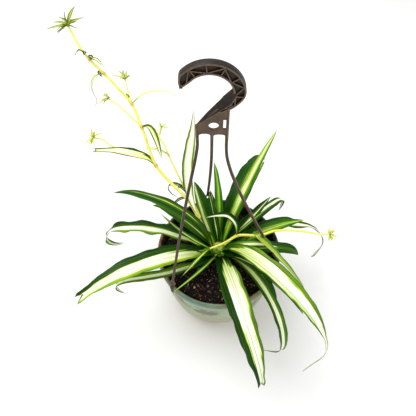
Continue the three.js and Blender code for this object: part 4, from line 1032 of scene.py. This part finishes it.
def flat_bar(edge, wide, thick, step=None):
    """A bar along (x, z) corners in the hook's plane, smoothed where a step is given, whose
    flat side faces across its path."""
    points = [Vector((x, 0, z)) for x, z in edge]
    points = through(points, step) if step else points
    facings = [Vector((-way.z, 0, way.x)).normalized() for way in ways(points)]
    return points, facings, wide, thick


bars = [
    flat_bar(OUTER_EDGE, HOOK_WIDTH, FLANGE, 1.6),
    flat_bar(INNER_EDGE, HOOK_WIDTH, FLANGE, 1.6),
    flat_bar([(-36, 387.9), (-36, 391)], HOOK_WIDTH, 2.6),
    flat_bar([(PLATE_RIGHT, 365.5), NECK_FOOT, (-5.2, 361.9)], RIB_WIDTH, FLANGE, 1.5),
    flat_bar([(PLATE_LEFT + BEAD / 2, z) for z in (343, PLATE_BOTTOM)], PLATE + BEAD, BEAD),
    flat_bar([(PLATE_RIGHT - BEAD / 2, z) for z in (366, PLATE_BOTTOM)], PLATE + BEAD, BEAD),
]
ZIGZAG_RADII = (HOOK_INNER + 0.6, HOOK_OUTER - 1.1)
ribs = [(on_hook(a, ZIGZAG_RADII[i % 2]), on_hook(b, ZIGZAG_RADII[1 - i % 2]))
        for i, (a, b) in enumerate(zip(ZIGZAG, ZIGZAG[1:]))]
ribs += [(on_hook(angle, HOOK_INNER), on_hook(angle, HOOK_OUTER)) for angle in POSTS]
ribs += [((x0, z0), (x1, z1)) for x0, z0, x1, z1 in NECK_RIBS]
bars += [flat_bar(rib, RIB_WIDTH, RIB) for rib in ribs]

gusset_backs = through([(x, half, back) for x, back, front, half in GUSSET], 2)
gusset_fronts = through([(x, -half, front) for x, back, front, half in GUSSET], 2)
count = min(len(gusset_backs), len(gusset_fronts))
backs, fronts = ([line[round(i * (len(line) - 1) / (count - 1))] for i in range(count)]
                 for line in (gusset_backs, gusset_fronts))
centres, facings, widths = [], [], []
for back, front, back_way, front_way in zip(backs, fronts, ways(backs), ways(fronts)):
    normal = (back_way + front_way).cross(front - back).normalized()
    normal *= 1 if normal.x < 0 else -1
    centres.append((back + front) / 2 - normal * FLANGE / 2)
    facings.append(normal)
    widths.append((back - front).length)
bars.append((centres, facings, widths, FLANGE))

# The strands bow out towards the clips on the rim; the clips are a loop and a tongue.
# azimuth of the clip, power of the bow, x of the root's left side
STRANDS = [(223, 0.73, PLATE_LEFT), (101, 1.1, REAR_STRAND), (341, 1.15, PLATE_RIGHT - STRAND_ROOT)]
STRAND_BEND = 318
STRAND_EASE = 0.15
CLIP_RADIUS = RIM_RADIUS - 2.6
LOOP_TOP, LOOP_FOOT = POT_HEIGHT + 15, POT_HEIGHT + 4.5
LOOP_MIDDLE = (LOOP_TOP + LOOP_FOOT) / 2
LOOP_SIDE = 2.79                 # half the width of a loop, to the middle of its bars
TONGUE_GAP = 1.1                 # from the rim to the middle of a tongue
TONGUE_OUT = RIM_RADIUS + TONGUE_GAP
TONGUE_TOP = POT_HEIGHT + TONGUE_GAP
UNDER_RIM = POT_HEIGHT - RIM_BAND - 1.6

strands = []
for angle, bow, left in STRANDS:
    radial = Vector((math.cos(math.radians(angle)), math.sin(math.radians(angle)), 0))
    tangent = Vector((-radial.y, radial.x, 0))
    x = left + STRAND_ROOT / 2
    foot = radial * CLIP_RADIUS
    route = [(x, 0, PLATE_BOTTOM + 2), (x, 0, PLATE_BOTTOM - 3)]
    for down in shares(12):
        eased = math.hypot(down, STRAND_EASE) - STRAND_EASE
        out = (eased / (math.hypot(1, STRAND_EASE) - STRAND_EASE)) ** bow
        route.append((x + (foot.x - x) * out, foot.y * out,
                      STRAND_BEND + (LOOP_TOP - 0.6 - STRAND_BEND) * down))
    strands.append((through(route, 4), Vector((0, -1, 0)), STRAND, STRAND * 0.9))
    for side in (-LOOP_SIDE, LOOP_SIDE):
        corners = [(0, LOOP_TOP), (side, LOOP_MIDDLE + 1.2), (side, LOOP_MIDDLE - 1.2),
                   (0, LOOP_FOOT)]
        loop = [foot + tangent * across + Vector((0, 0, z)) for across, z in corners]
        strands.append((through(loop, 0.8), radial, 1.7, 2.4))
    tongue = [radial * r + Vector((0, 0, z)) for r, z in [
        (CLIP_RADIUS, LOOP_FOOT + 1.2), (CLIP_RADIUS, POT_HEIGHT + 1.6),
        (CLIP_RADIUS + 0.5, TONGUE_TOP), (TONGUE_OUT - 0.5, TONGUE_TOP),
        (TONGUE_OUT, POT_HEIGHT + 0.6), (TONGUE_OUT, UNDER_RIM + 1.8),
        (TONGUE_OUT - 1, UNDER_RIM), (CLIP_RADIUS, UNDER_RIM)]]
    strands.append((tongue, [tangent.cross(way).normalized() for way in ways(tongue)], 3, 1.6))


def bar_piece(name, rows, material):
    """A piece of moulded bars from rows of (points, facings, widths, thicknesses), where one
    value in place of a list is for the whole bar."""
    mesh = polyline(name, [row[0] for row in rows])
    for label, part, kind in (
            ("wide", 2, "FLOAT"), ("thick", 3, "FLOAT"), ("facing", 1, "FLOAT_VECTOR")):
        values = []
        for row in rows:
            values += row[part] if isinstance(row[part], list) else [row[part]] * len(row[0])
        data = mesh.attributes.new(label, kind, "POINT").data
        if kind == "FLOAT":
            data.foreach_set("value", [value * MM for value in values])
        else:
            data.foreach_set("vector", [c for value in values for c in value])
    return run_tree(name, mesh, bar_tree, material=material)


hanger_bars = bar_piece("hanger_bars", bars, bar_plastic)
hanger_strands = bar_piece("hanger_strands", strands, strand_plastic)

SOFT_EDGE = 0.3


def slab(name, outlines, thickness, material):
    """A flat piece in the hook's plane from closed (x, z) outlines, its edges softened."""
    curve = bpy.data.curves.new(name, "CURVE")
    curve.dimensions = "2D"
    curve.fill_mode = "BOTH"
    curve.extrude = (thickness / 2 - SOFT_EDGE) * MM
    curve.bevel_depth = SOFT_EDGE * MM
    curve.offset = -SOFT_EDGE * MM
    curve.bevel_resolution = 1
    for outline in outlines:
        spline = curve.splines.new("POLY")
        spline.points.add(len(outline) - 1)
        for point, (x, z) in zip(spline.points, outline):
            point.co = (x * MM, z * MM, 0, 1)
        spline.use_cyclic_u = True
    drawn = placed(name, curve)
    graph = bpy.context.evaluated_depsgraph_get()
    mesh = bpy.data.meshes.new_from_object(drawn.evaluated_get(graph))
    bpy.data.objects.remove(drawn)
    mesh.transform(Matrix.Rotation(math.pi / 2, 4, "X"))
    mesh.materials.clear()
    mesh.materials.append(material)
    return placed(name, mesh)


def arch(right, left, spring, apex):
    """The open window between two strands, up one side and down the other."""
    middle, half = (right + left) / 2, (right - left) / 2
    top = [(middle + half * math.cos(a), spring + (apex - spring) * math.sin(a) ** 0.7)
           for a in (math.pi * part for part in shares(12))]
    return [(right, PLATE_BOTTOM), *top, (left, PLATE_BOTTOM)]


neck_line = [(x, (back + front) / 2 - 1) for x, back, front, half in GUSSET[:4]]
hanger_web = slab("hanger_web", [[*OUTER_EDGE, NECK_FOOT, *neck_line[::-1], *INNER_EDGE[::-1]]],
                  WEB, web_plastic)
plate_outline = [
    (PLATE_LEFT, 342.8), (-18.2, 351), (-10.2, 359.4), (-5.6, 364.2), NECK_FOOT,
    (PLATE_RIGHT, 365.5), (PLATE_RIGHT, PLATE_BOTTOM),
    *arch(PLATE_RIGHT - STRAND_ROOT, REAR_STRAND + STRAND_ROOT, 330.5, 333),
    *arch(REAR_STRAND, PLATE_LEFT + STRAND_ROOT, 331, 334), (PLATE_LEFT, PLATE_BOTTOM)]
eye = [(-8.9 + 4.8 * math.cos(a), 343.3 + 4.6 * math.sin(a))
       for a in (2 * math.pi * i / 32 for i in range(32))]
slot = [(-0.4, 339), (2.2, 339), (2.2, 351.2), (-0.4, 351.2)]
hanger_plate = slab("hanger_plate", [plate_outline, eye, slot], PLATE, plate_plastic)

for piece in (hanger_bars, hanger_strands, hanger_web, hanger_plate):
    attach(piece, "root")
    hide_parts("hanger")
